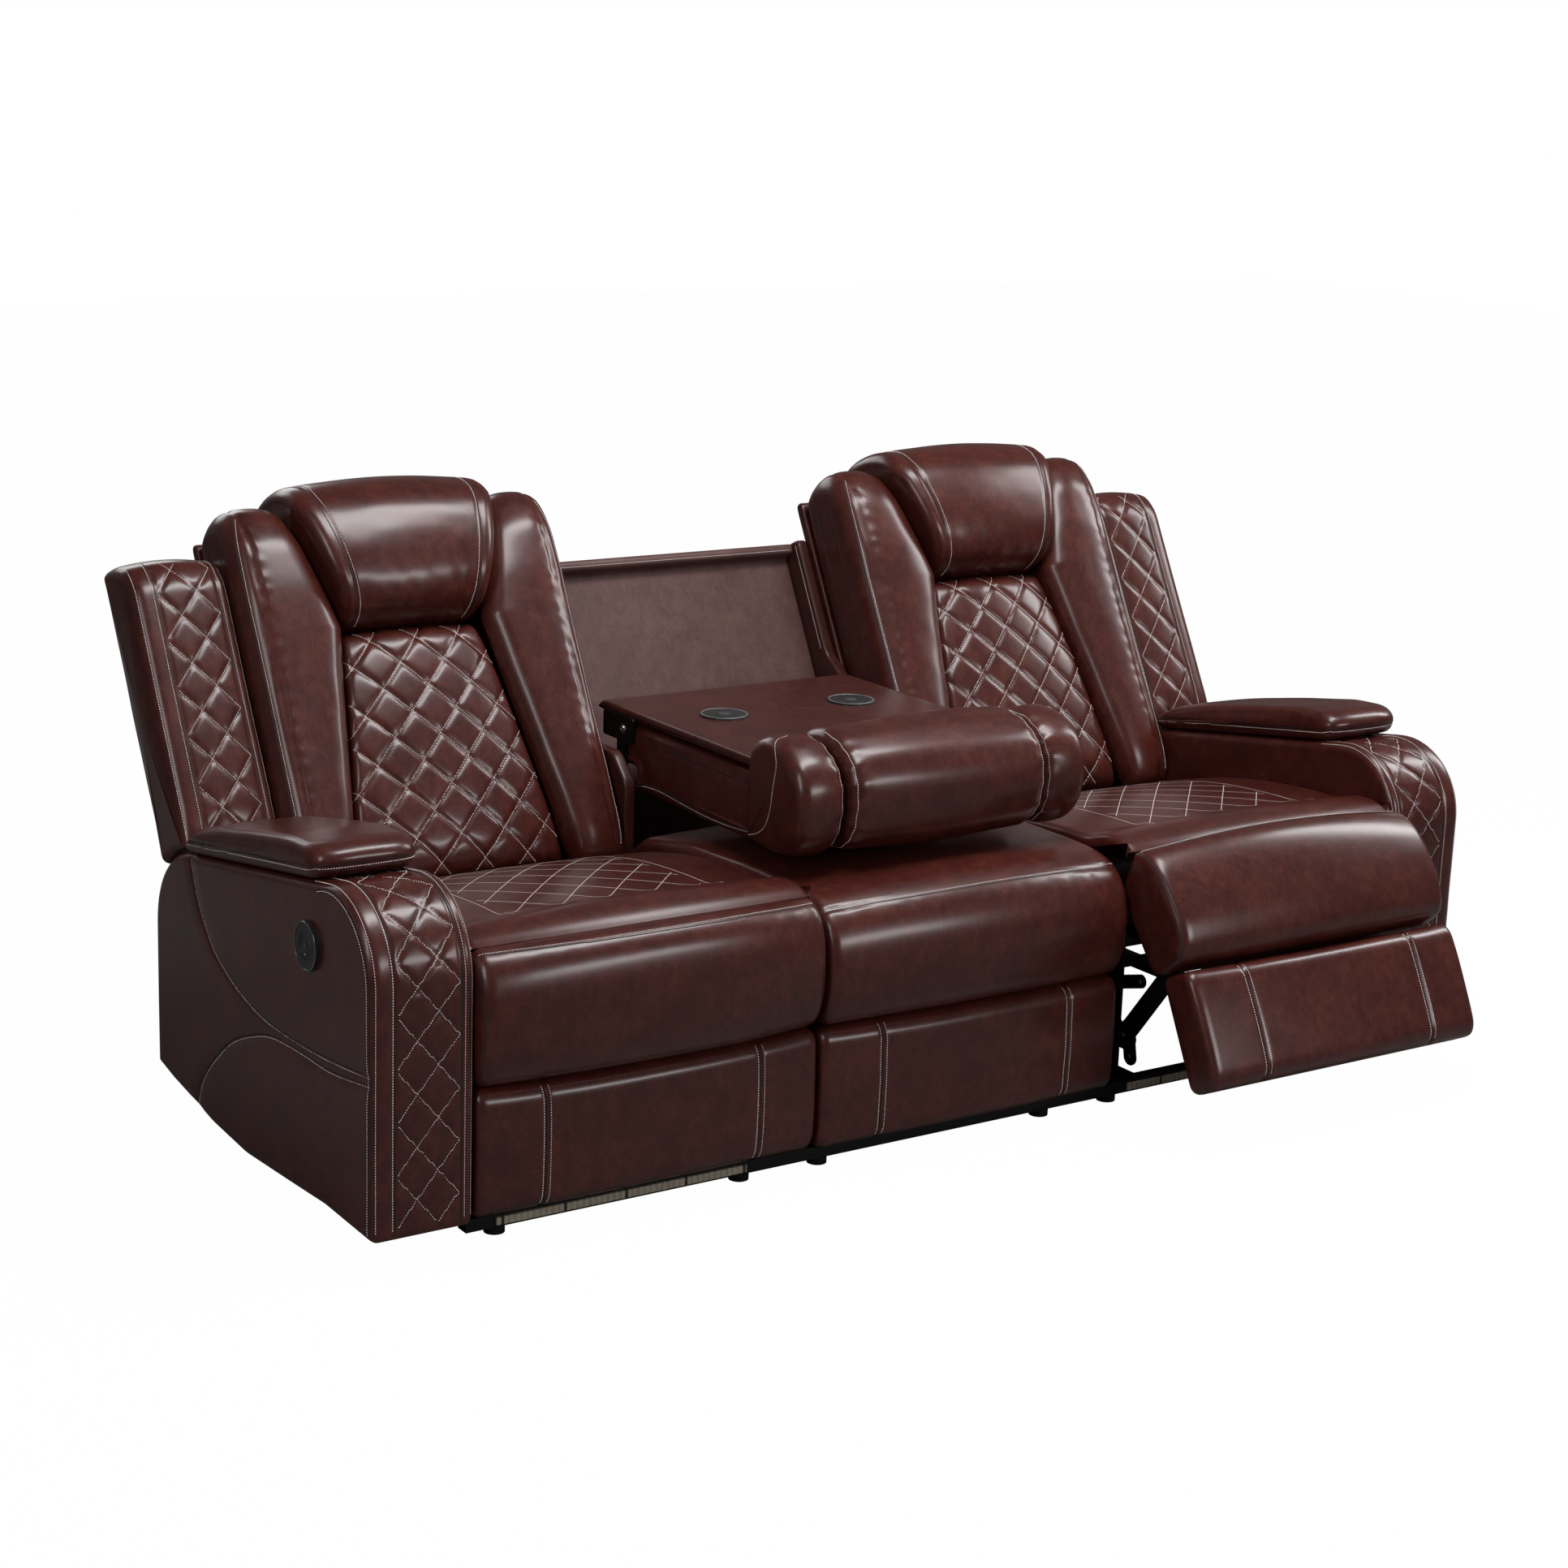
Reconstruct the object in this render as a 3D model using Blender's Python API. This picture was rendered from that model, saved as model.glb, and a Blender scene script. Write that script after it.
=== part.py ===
"""Power reclining sofa: three seats, two of them reclining, and a drop-down table in the middle one.

Lengths are in metres and angles in degrees.  +X runs along the sofa, +Y to its back, +Z up.
Outlines are drawn in the side view, (y, z), and every seat is drawn with its footrest shut.
The whole sofa then hangs on one empty that brings its footprint's middle and the floor to zero.
"""
import math

import bmesh
import bpy
from mathutils import Vector

# Overall sizes
SEAT_PITCH = 0.62
ARM_WIDTH = 0.17
SOFT_CLEARANCE = 0.003
SEAT_GAP = 0.0003
OVERRUN = 0.002
FOOTPRINT_SHIFT = 0.3564
FLOOR_LEVEL = 0.011

# Feet and rails
FOOT_HEIGHT = 0.0115
FOOT_RADIUS = 0.0165
FRONT_FOOT_PLACES = (-0.875, -0.434, -0.283, 0.176, 0.325, 0.772)
RAIL_HEIGHT = 0.021
RAIL_WIDTH = 0.025
FRONT_RAIL_FRONT = -0.742
FRONT_RAIL_DEPTH = 0.026
RAIL_REAR = 0.0055
MECHANISM_HALF_WIDTH = 0.235
LIGHT_THICKNESS = 0.004
LIGHT_HEIGHT = 0.012
LIGHT_LENGTH = 0.45
LIGHT_OFFSET = -0.035
SKIRT_THICKNESS = 0.024
SKIRT_LOW = 0.03
SKIRT_HIGH = 0.295

# Arms
ARM_FRONT = -0.768
ARM_REAR = 0.029
ARM_BOTTOM = 0.046
ARM_SAG = 0.010
ARM_NOSE_RADIUS = 0.13
ARM_NOSE_HEIGHT = 0.43
ARM_TAIL_RADIUS = 0.149
ARM_HEEL_LENGTH = 0.065
ARM_HEEL_HEIGHT = 0.038
ARM_HEEL_LIFT = 0.024
ARM_ROLL = 0.012
PAD_LENGTH = 0.51
PAD_THICKNESS = 0.058
PAD_OVERHANG = 0.006
PAD_SETBACK = 0.012
PAD_CROWN = 0.006
SWITCH_FROM_FRONT = 0.2025
SWITCH_HEIGHT = 0.4505
BEZEL_RADIUS = 0.0385
BEZEL_DEPTH = 0.008
BUTTON_RADIUS = 0.02
BUTTON_DEPTH = 0.005
BUTTON_STANDOFF = 0.0022

# Backs, in their own leaning frame: s up the back from the hinge, t forwards from it
HINGE_Y = -0.12
HINGE_Z = 0.33
LEAN = 28.4
SHELL_REAR = -0.066
SHELL_THICKNESS = 0.02
SHELL_LOW = 0.02
SHELL_HIGH = 0.6895
LUMBAR_LOW = 0.035
LUMBAR_HIGH = 0.482
LUMBAR_FRONT = 0.066
LUMBAR_CROWN = 0.010
LUMBAR_HALF_LOW = 0.205
LUMBAR_HALF_HIGH = 0.134
BOLSTER_HIGH = 0.703
BOLSTER_FRONT = 0.088
BOLSTER_CROWN = 0.018
BOLSTER_ROLL = 0.014
HEADREST_LOW = 0.487
HEADREST_HIGH = 0.752
HEADREST_REAR = -0.088
HEADREST_FRONT = 0.128
HEADREST_CROWN = 0.010
HEADREST_HALF_TOP = 0.19
WING_REAR = -0.058
WING_FRONT = 0.052
WING_HIGH = 0.652
WING_TAIL_RADIUS = 0.1535
WING_CROWN = 0.010
PIVOT_PIN_RADIUS = 0.008
PIVOT_CLEARANCE = 0.0004
PIVOT_REACH = 0.024
LUG_THICKNESS = 0.006
LUG_HALF_WIDTH = 0.019
LUG_FROM_SIDE = 0.009

# Seats
SEAT_REAR = -0.155
SEAT_BOTTOM = 0.2905
SEAT_TOP = 0.472
SEAT_CROWN = 0.008
QUILT_DEPTH = 0.004
FOOTREST_HINGE_Y = -0.738
FOOTREST_HINGE_Z = 0.466
FOOTREST_BACK = -0.667
FOOTREST_FRONT = -0.782
FOOTREST_BOTTOM = 0.2545
FOOTREST_CROWN = 0.011
FLAP_HINGE_Y = -0.70
FLAP_GAP = 0.0008
FLAP_BOTTOM = 0.0475
FLAP_FRONT = -0.770
FLAP_BACK = -0.690
FLAP_CROWN = 0.008

# Footrest mechanism
PLATE_THICKNESS = 0.006
PLATE_FRONT = -0.655
PLATE_REAR = -0.20
PLATE_LEG_WIDTH = 0.045
PLATE_BAR_DEPTH = 0.06
PLATE_LIFT = 0.0004
CRANK_Y = -0.586
CRANK_Z = 0.210
CRANK_LENGTH = 0.131
SWING_BACK = 0.088
SWING_DROP = 0.181
SWING_LENGTH = 0.220
SWING_TAIL = 0.0
LINK_HALF_WIDTH = 0.0125
LINK_THICKNESS = 0.005
CRANK_ARM_THICKNESS = 0.012
LINK_STEP = 0.010
LINK_TUBE_RADIUS = 0.009
TUBE_CLEARANCE = 0.0004
CRANK_ARM_LENGTH = 0.04
SWING_RIB_LENGTH = 0.07
BRACKET_THICKNESS = 0.005
BRACKET_HALF_WIDTH = 0.016
MOTOR_TUBE_Y = -0.225
MOTOR_TUBE_Z = 0.20
MOTOR_TUBE_RADIUS = 0.010
GEARBOX_WIDTH = 0.07
GEARBOX_DEPTH = 0.06
GEARBOX_LOW = 0.13
GEARBOX_HIGH = 0.255
MOTOR_CAN_RADIUS = 0.026
MOTOR_CAN_LENGTH = 0.09
SCREW_TUBE_LENGTH = 0.27
SCREW_TUBE_HALF = 0.012
CARRIAGE_HALF_WIDTH = 0.03
CARRIAGE_LENGTH = 0.05
CARRIAGE_START = 0.03

# Middle seat and its table
BASE_TOP = 0.249
BASE_FRONT = -0.772
BASE_REAR = -0.05
BASE_CROWN = 0.008
MIDDLE_TOP = 0.460
MIDDLE_FRONT = -0.778
MIDDLE_CROWN = 0.006
CHEEK_THICKNESS = 0.0195
CHEEK_FRONT = -0.150
CHEEK_REAR_T = -0.125
CHEEK_FRONT_T = -0.055
BOARD_LIP_T = -0.075
CHEEK_HIGH = 0.618
BOARD_THICKNESS = 0.022
BOARD_LIP_HEIGHT = 0.022
BOARD_LOW = 0.035
TABLE_HINGE_Y = -0.07
TABLE_HINGE_Z = 0.514
TABLE_PIN_RADIUS = 0.007
TABLE_PIN_REACH = 0.010
TRAY_TOP = 0.628
TRAY_THICKNESS = 0.024
TRAY_SIDE_GAP = 0.0222
TRAY_FRONT = -0.502
TRAY_REAR = 0.03
TRAY_BEVEL = 0.006
TRAY_REAR_RUN = 0.020
TRAY_REAR_RISE = 0.014
TABLE_PLATE_THICKNESS = 0.005
TABLE_PLATE_FRONT = -0.107
TABLE_PLATE_REAR = -0.006
TABLE_PLATE_HEIGHT = 0.045
TABLE_PLATE_CORNER = 0.005
TABLE_ARM_HALF_WIDTH = 0.016
TABLE_BOLT_Y = -0.0745
TABLE_BOLT_RADIUS = 0.0055
TABLE_BOLT_HEIGHT = 0.0025
TABLE_PAD_BOTTOM = 0.486
TABLE_PAD_REAR = -0.048
TABLE_PAD_CROWN = 0.004
TABLE_PAD_NOTCH = 0.048
ROLL_FRONT = -0.680
ROLL_BACK = -0.5035
ROLL_TOP = 0.688
ROLL_BOTTOM = 0.494
ROLL_HALF_WIDTH = 0.20
ROLL_CROWN = 0.006
ROLL_END_WIDTH = 0.096
ROLL_END_FRONT = -0.665
ROLL_END_TOP = 0.678
CHARGER_RADIUS = 0.0435
CHARGER_THICKNESS = 0.003
CHARGER_SPREAD = 0.27
CHARGER_Y = -0.19

# Motion: the angles shown at rest and what follows the footrest
FOOTREST_FULL_ANGLE = 75.0
FOOTREST_DRAWN_ANGLE = 38.0
FOOTREST_REST_ANGLES = {"left": 0.0, "right": 38.0}
SEAT_GLIDE_TRAVEL = 0.06
FLAP_RATIO = -0.297
CRANK_RATIO = 1.255
SWING_RATIO = -1.348
CARRIAGE_TRAVEL = 0.12

# Shares across a soft piece, from its left end to its right end
SOFT_STATION_SHARES = (-1, -0.94, -0.8, -0.5, 0, 0.5, 0.8, 0.94, 1)
FIRM_STATION_SHARES = (-1, -0.93, -0.8, 0.8, 0.93, 1)
NARROW_STATION_SHARES = (-1, -0.92, -0.75, -0.4, 0, 0.4, 0.75, 0.92, 1)
QUILT_STATION_SHARES = (-1, -0.94, -0.8, -0.6, -0.4, -0.2, 0, 0.2, 0.4, 0.6, 0.8, 0.94, 1)

# Side outlines as shares of each piece's own depth and height, with how much each point swells
PAD_OUTLINE_SHARES = ((0.0, 0.35, 0), (0.03, 0.02, 0), (0.97, 0.0, 0), (1.0, 0.12, 0), (0.985, 0.38, 0.5),
                      (0.9, 0.7, 1), (0.72, 0.87, 1), (0.45, 0.98, 1), (0.2, 1.0, 1), (0.05, 0.86, 1),
                      (0.0, 0.6, 1))
# Along the arm's underside from its nose to its heel, and down from there as shares of its sag
ARM_SOLE_SHARES = ((0.0, 0.0), (0.2, -0.5), (0.385, 0.3), (0.56, 1.0), (0.72, 0.1), (0.80, -1.0))
LUMBAR_SIDE_SHARES = ((0.0, 0.0, 0), (1.0, 0.0, 0), (1.0, 0.72, 0))
LUMBAR_ROW_COUNT = 9
LUMBAR_BULGE_SHARE = 0.10
BOLSTER_OUTLINE_SHARES = ((0.035, 0.62, 0), (0.15, 0.5, 0), (0.2, 0.0, 0), (0.97, 0.0, 0), (1.0, 0.28, 0),
                          (0.995, 0.52, 1), (0.965, 0.78, 1), (0.87, 0.97, 1), (0.7, 0.99, 1),
                          (0.5, 0.93, 1), (0.3, 0.93, 1), (0.15, 0.95, 1), (0.07, 0.92, 1), (0.04, 0.84, 0))
HEADREST_OUTLINE_SHARES = ((0.86, 0.0, 0.5), (0.97, 0.05, 0.7), (1.0, 0.3, 1), (0.985, 0.6, 1),
                           (0.9, 0.84, 1), (0.72, 0.98, 1), (0.48, 1.0, 1), (0.24, 0.95, 1),
                           (0.06, 0.82, 1), (0.0, 0.6, 0.3))
SEAT_FRONT_SHARES = ((0.193, 0.0, 0), (1.0, 0.0, 0), (1.0, 0.44, 0), (0.923, 0.63, 0.6), (0.786, 0.75, 1))
SEAT_QUILT_SHARES = ((0.64, 0.86, 1), (0.533, 0.91, 1), (0.425, 0.94, 1), (0.318, 0.955, 1),
                     (0.211, 0.96, 1))
SEAT_NOSE_SHARES = ((0.15, 1.03, 1), (0.0995, 1.045, 1), (0.045, 1.03, 0.7), (0.0, 0.969, 0),
                    (0.065, 0.885, 0), (0.125, 0.77, 0), (0.1424, 0.6, 0), (0.1424, 0.19, 0))
FOOTREST_OUTLINE_SHARES = ((0.22, 0.0, 0.3), (0.71, 0.0, 0), (1.0, 0.04, 0), (1.0, 0.80, 0), (0.70, 0.90, 0),
                           (0.385, 1.0, 0), (0.24, 0.99, 0.6), (0.12, 0.93, 1), (0.04, 0.79, 1),
                           (0.0, 0.56, 1), (0.0, 0.3, 1), (0.08, 0.1, 1))
FLAP_OUTLINE_SHARES = ((0.18, 0.0, 0), (0.875, 0.0, 0), (1.0, 0.05, 0), (1.0, 0.96, 0), (0.875, 1.0, 0),
                       (0.16, 0.985, 0), (0.03, 0.9, 1), (0.0, 0.5, 1), (0.03, 0.1, 1))
BASE_OUTLINE_SHARES = ((0.02, 0.0, 0), (1.0, 0.0, 0), (1.0, 1.0, 0), (0.02, 1.0, 0), (0.004, 0.92, 1),
                       (0.0, 0.5, 1), (0.004, 0.09, 1))
MIDDLE_OUTLINE_SHARES = ((0.04, 0.0, 0), (1.0, 0.0, 0), (1.0, 0.70, 0), (0.92, 0.87, 0.7), (0.7, 0.96, 1),
                         (0.45, 1.0, 1), (0.2, 1.0, 1), (0.085, 0.985, 1), (0.048, 0.93, 0.6),
                         (0.012, 0.75, 1), (0.0, 0.5, 1), (0.003, 0.24, 1), (0.018, 0.07, 1))
WING_TOP_SHARES = ((1.0, 0.0, 0), (0.985, 0.45, 1), (0.955, 0.85, 1), (0.90, 1.0, 1), (0.6, 1.0, 1),
                   (0.3, 1.0, 1))
TABLE_PAD_SHARES = ((0.10, 0.0, 1), (0.45, 0.0, 1), (0.80, 0.0, 1))
ROLL_OUTLINE_SHARES = ((0.0, 0.45, 1), (0.06, 0.2, 1), (0.25, 0.03, 1), (0.55, 0.0, 1), (1.0, 0.04, 0),
                       (1.0, 0.76, 0), (0.93, 0.93, 0.5), (0.7, 1.0, 1), (0.4, 0.97, 1), (0.13, 0.83, 1),
                       (0.02, 0.65, 1))

# Worked out from the sizes above
HALF_PITCH = SEAT_PITCH / 2
ARM_INNER = 1.5 * SEAT_PITCH + SEAT_GAP
ARM_OUTER = ARM_INNER + ARM_WIDTH
CUSHION_HALF = HALF_PITCH - SOFT_CLEARANCE
TRAY_HALF_WIDTH = CUSHION_HALF - CHEEK_THICKNESS - TRAY_SIDE_GAP
RAIL_LOW = FLOOR_LEVEL + FOOT_HEIGHT
RAIL_TOP = RAIL_LOW + RAIL_HEIGHT
PILLOW_REAR = SHELL_REAR + SHELL_THICKNESS + SEAT_GAP
SIDES = {"left": -1, "right": 1}
FULL_TURN = 360
ROUND_STEPS = 20
PIN_STEPS = 12
ROLL_START_SHARE = 0.8


def clear_scene():
    for thing in list(bpy.data.objects):
        bpy.data.objects.remove(thing, do_unlink=True)


def paint(name, colour, roughness, metallic=0.0):
    """A plain surface with one colour."""
    material = bpy.data.materials.new(name)
    material.use_nodes = True
    shader = material.node_tree.nodes["Principled BSDF"]
    shader.inputs["Base Color"].default_value = (*colour, 1.0)
    shader.inputs["Roughness"].default_value = roughness
    shader.inputs["Metallic"].default_value = metallic
    return material


# Flat drawing helpers

def arc(centre, radius, start, end, steps):
    """Points on an arc of the side view, from one angle to another."""
    points = []
    for step in range(steps + 1):
        angle = math.radians(start + (end - start) * step / steps)
        points.append((centre[0] + radius * math.cos(angle), centre[1] + radius * math.sin(angle)))
    return points


def framed(shares, low, high):
    """An outline given as shares of a rectangle from one corner to the other."""
    width, height = high[0] - low[0], high[1] - low[1]
    return [(low[0] + a * width, low[1] + b * height, soft) for a, b, soft in shares]


def leaned(outline):
    """An outline of the leaning frame, (s, t), in the side view."""
    sine, cosine = math.sin(math.radians(LEAN)), math.cos(math.radians(LEAN))
    return [(HINGE_Y + s * sine - t * cosine, HINGE_Z + s * cosine + t * sine, soft)
            for s, t, soft in outline]


def swung(point, degrees):
    """A side-view vector turned the way that a footrest opens."""
    angle = math.radians(degrees)
    return Vector((point[0] * math.cos(angle) + point[1] * math.sin(angle),
                   point[1] * math.cos(angle) - point[0] * math.sin(angle)))


def stadium(start, end, half_width, steps=6):
    """The outline of a flat bar with round ends."""
    start, end = Vector(start), Vector(end)
    heading = math.degrees(math.atan2(end.y - start.y, end.x - start.x))
    far = arc(end, half_width, heading - 90, heading + 90, steps)
    near = arc(start, half_width, heading + 90, heading + 270, steps)
    return far + near


def rounded(low, high, radius):
    """The outline of a rectangle with round corners."""
    corners = ((high[0], low[1], -1, 1), (high[0], high[1], -1, -1),
               (low[0], high[1], 1, -1), (low[0], low[1], 1, 1))
    outline = []
    for turn, (y, z, inward, up) in enumerate(corners):
        quarter = FULL_TURN / 4
        centre = (y + inward * radius, z + up * radius)
        outline += arc(centre, radius, quarter * (turn - 1), quarter * turn, 3)
    return outline


def outward(outline):
    """The outward direction at each point of an outline that runs anticlockwise."""
    directions = []
    for index in range(len(outline)):
        before, after = outline[index - 1], outline[(index + 1) % len(outline)]
        directions.append(Vector((after[1] - before[1], before[0] - after[0])).normalized())
    return directions


# Solids

def as_object(name, mesh, material):
    data = bpy.data.meshes.new(name)
    mesh.to_mesh(data)
    mesh.free()
    data.materials.append(material)
    data.shade_smooth()
    data.set_sharp_from_angle(angle=math.radians(35))
    thing = bpy.data.objects.new(name, data)
    bpy.context.collection.objects.link(thing)
    return thing


def plate(name, outline, left, right, material):
    """A side-view outline, anticlockwise, with a thickness along X."""
    mesh = bmesh.new()
    near = [mesh.verts.new((left, point[0], point[1])) for point in outline]
    far = [mesh.verts.new((right, point[0], point[1])) for point in outline]
    for row in range(len(outline)):
        mesh.faces.new([near[row - 1], near[row], far[row], far[row - 1]])
    mesh.faces.new(near[::-1])
    mesh.faces.new(far)
    return as_object(name, mesh, material)


def block(name, low, high, material, bevel=0):
    """A rectangular block, with its edges eased where a bevel is given."""
    mesh = bmesh.new()
    bmesh.ops.create_cube(mesh, size=1.0)
    sizes = [high[axis] - low[axis] for axis in range(3)]
    middle = [(high[axis] + low[axis]) / 2 for axis in range(3)]
    bmesh.ops.scale(mesh, verts=mesh.verts, vec=sizes)
    bmesh.ops.translate(mesh, verts=mesh.verts, vec=middle)
    if bevel:
        bmesh.ops.bevel(mesh, geom=mesh.edges, offset=bevel, segments=2, profile=0.5,
                        affect="EDGES", material=-1)
    return as_object(name, mesh, material)


def round_bar(name, radius, left, right, y, z, material, steps=PIN_STEPS):
    """A round bar along X."""
    circle = arc((y, z), radius, 0, FULL_TURN * (steps - 1) / steps, steps - 1)
    return plate(name, circle, left, right, material)


def disc(name, radius, x, y, low, high, material, bevel=0):
    """An upright disc, with its top edge eased where a bevel is given."""
    mesh = bmesh.new()
    bmesh.ops.create_cone(mesh, cap_ends=True, segments=ROUND_STEPS, radius1=radius, radius2=radius,
                          depth=high - low)
    bmesh.ops.translate(mesh, verts=mesh.verts, vec=(x, y, (low + high) / 2))
    if bevel:
        rim = [edge for edge in mesh.edges if all(vert.co.z > (low + high) / 2 for vert in edge.verts)]
        bmesh.ops.bevel(mesh, geom=rim, offset=bevel, segments=2, profile=0.5, affect="EDGES", material=-1)
    return as_object(name, mesh, material)


def cut_or_join(main, others, operation):
    """One solid from several, by an exact union or difference."""
    for other in others:
        step = main.modifiers.new("shape", "BOOLEAN")
        step.operation = operation
        step.object = other
    depsgraph = bpy.context.evaluated_depsgraph_get()
    result = bpy.data.meshes.new_from_object(main.evaluated_get(depsgraph))
    main.modifiers.clear()
    main.data = result
    for other in others:
        bpy.data.objects.remove(other, do_unlink=True)
    return main


def join(main, *others):
    return cut_or_join(main, others, "UNION")


def cut(main, *others):
    return cut_or_join(main, others, "DIFFERENCE")


def spread(value, count):
    """One value for each point of an outline."""
    return list(value) if isinstance(value, (list, tuple)) else [value] * count


def pillow(name, outline, left, right, material, crown=0, roll=0, stations=SOFT_STATION_SHARES, quilt=None):
    """A sewn form: a side outline carried along X, swelling in the middle and drawn in at its ends.

    left and right are one place each, or one for each point of the outline.
    quilt gives the first and last row, the first and last station and the depth of its seams.
    """
    directions = outward(outline)
    lefts, rights = spread(left, len(outline)), spread(right, len(outline))
    mesh = bmesh.new()
    rings = []
    for column, share in enumerate(stations):
        swell = crown * (1 - share ** 2)
        draw = roll * drawn_in(share)
        ring = []
        for row, (y, z, soft) in enumerate(outline):
            out = soft * swell - draw
            if quilted(quilt, row, column) and (row + column) % 2 == 0:
                out -= quilt[4]
            x = lefts[row] + (rights[row] - lefts[row]) * (share + 1) / 2
            ring.append(mesh.verts.new((x, y + directions[row].x * out, z + directions[row].y * out)))
        rings.append(ring)
    for column in range(len(rings) - 1):
        for row in range(len(outline)):
            nearer, farther = rings[column], rings[column + 1]
            after = (row + 1) % len(outline)
            corners = [nearer[row], nearer[after], farther[after], farther[row]]
            if quilted(quilt, row, column) and quilted(quilt, after, column + 1):
                turn = (row + column) % 2
                corners = corners[turn:] + corners[:turn]
                mesh.faces.new([corners[0], corners[1], corners[2]])
                mesh.faces.new([corners[0], corners[2], corners[3]])
            else:
                mesh.faces.new(corners)
    ends = [mesh.faces.new(rings[0][::-1]), mesh.faces.new(rings[-1])]
    bmesh.ops.triangulate(mesh, faces=ends, quad_method="BEAUTY", ngon_method="BEAUTY")
    bent = [face for face in mesh.faces if len(face.verts) == 4]
    bmesh.ops.triangulate(mesh, faces=bent, quad_method="BEAUTY", ngon_method="BEAUTY")
    return as_object(name, mesh, material)


def drawn_in(share):
    """How far a sewn form's skin is pulled in near its ends, as a share of its roll."""
    return max(0, (abs(share) - ROLL_START_SHARE) / (1 - ROLL_START_SHARE)) ** 2


def quilted(quilt, row, column):
    return quilt is not None and quilt[0] <= row <= quilt[1] and quilt[2] <= column <= quilt[3]


# Carriers: one empty for each moving body, on its joint's axis

class Carrier:
    """An empty on a joint's axis; what is drawn around the pivot hangs on it."""

    def __init__(self, name, pivot=(0, 0, 0), parent=None, slide=(0, 0, 0), opened=0.0):
        self.pivot = Vector(pivot)
        self.empty = bpy.data.objects.new(name, None)
        bpy.context.collection.objects.link(self.empty)
        if parent:
            self.empty.parent = parent.empty
            self.empty.location = self.pivot - parent.pivot + Vector(slide)
        else:
            self.empty.location = self.pivot + Vector(slide)
        self.empty.rotation_euler.x = -math.radians(opened)

    def carry(self, *things):
        for thing in things:
            for vert in thing.data.vertices:
                vert.co -= self.pivot
            thing.parent = self.empty


# Sofa base

def build_rails(root, steel, plastic):
    front = block("front_rail", (-ARM_INNER + SEAT_GAP, FRONT_RAIL_FRONT, RAIL_LOW),
                  (ARM_INNER - SEAT_GAP, FRONT_RAIL_FRONT + FRONT_RAIL_DEPTH, RAIL_TOP), steel)
    foot_y = FRONT_RAIL_FRONT + FRONT_RAIL_DEPTH / 2
    feet = [disc("foot", FOOT_RADIUS, x, foot_y, FLOOR_LEVEL, RAIL_LOW + OVERRUN, plastic)
            for x in FRONT_FOOT_PLACES]
    trim = block("behind", (-ARM_INNER, FRONT_RAIL_FRONT + FRONT_RAIL_DEPTH, RAIL_LOW - SEAT_GAP),
                 (ARM_INNER, 0, RAIL_TOP), steel)
    root.carry(cut(join(front, *feet), trim))
    rail_front = FRONT_RAIL_FRONT + FRONT_RAIL_DEPTH + SEAT_GAP
    number = 0
    for seat in SIDES.values():
        for edge in SIDES.values():
            number += 1
            x = seat * SEAT_PITCH + edge * MECHANISM_HALF_WIDTH
            rail = block(f"base_rail_{number}", (x - RAIL_WIDTH / 2, rail_front, RAIL_LOW),
                         (x + RAIL_WIDTH / 2, RAIL_REAR, RAIL_TOP), steel)
            foot = disc("foot", FOOT_RADIUS, x, RAIL_REAR - FOOT_RADIUS * 2, FLOOR_LEVEL, RAIL_LOW + OVERRUN,
                        plastic)
            root.carry(join(rail, foot))


def build_lights(root, material):
    low = RAIL_LOW + (RAIL_HEIGHT - LIGHT_HEIGHT) / 2
    for name, side in SIDES.items():
        middle = side * SEAT_PITCH + LIGHT_OFFSET
        rear = FRONT_RAIL_FRONT - SEAT_GAP
        root.carry(block(f"light_strip_{name}", (middle - LIGHT_LENGTH / 2, rear - LIGHT_THICKNESS, low),
                         (middle + LIGHT_LENGTH / 2, rear, low + LIGHT_HEIGHT), material))


def build_skirt(root, leather):
    inner = ARM_INNER - SEAT_GAP
    front = RAIL_REAR + SEAT_GAP
    root.carry(block("rear_skirt", (-inner, front, SKIRT_LOW), (inner, front + SKIRT_THICKNESS, SKIRT_HIGH),
                     leather, TRAY_BEVEL))


# Arms

def arm_outline():
    """The arm from the side: a round nose, a straight top and a tail round about the back's hinge."""
    nose = Vector((ARM_FRONT + ARM_NOSE_RADIUS, ARM_NOSE_HEIGHT))
    tail = Vector((HINGE_Y, HINGE_Z))
    span = tail - nose
    widening = math.asin((ARM_TAIL_RADIUS - ARM_NOSE_RADIUS) / span.length)
    slope = math.degrees(math.atan2(span.y, span.x) + widening)
    top = 90 + slope
    run = ARM_REAR - ARM_FRONT
    outline = [(ARM_FRONT + along * run, ARM_BOTTOM - down * ARM_SAG) for along, down in ARM_SOLE_SHARES]
    outline += [(ARM_REAR - ARM_HEEL_LENGTH, ARM_BOTTOM + ARM_HEEL_LIFT),
                (ARM_REAR, ARM_BOTTOM + ARM_HEEL_HEIGHT)]
    outline += arc(tail, ARM_TAIL_RADIUS, 0, top, 6)
    outline += arc(nose, ARM_NOSE_RADIUS, top, 180, 7)
    return [(y, z, 0) for y, z in outline], slope, arc(nose, ARM_NOSE_RADIUS, top, 180, 1)[0]


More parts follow.
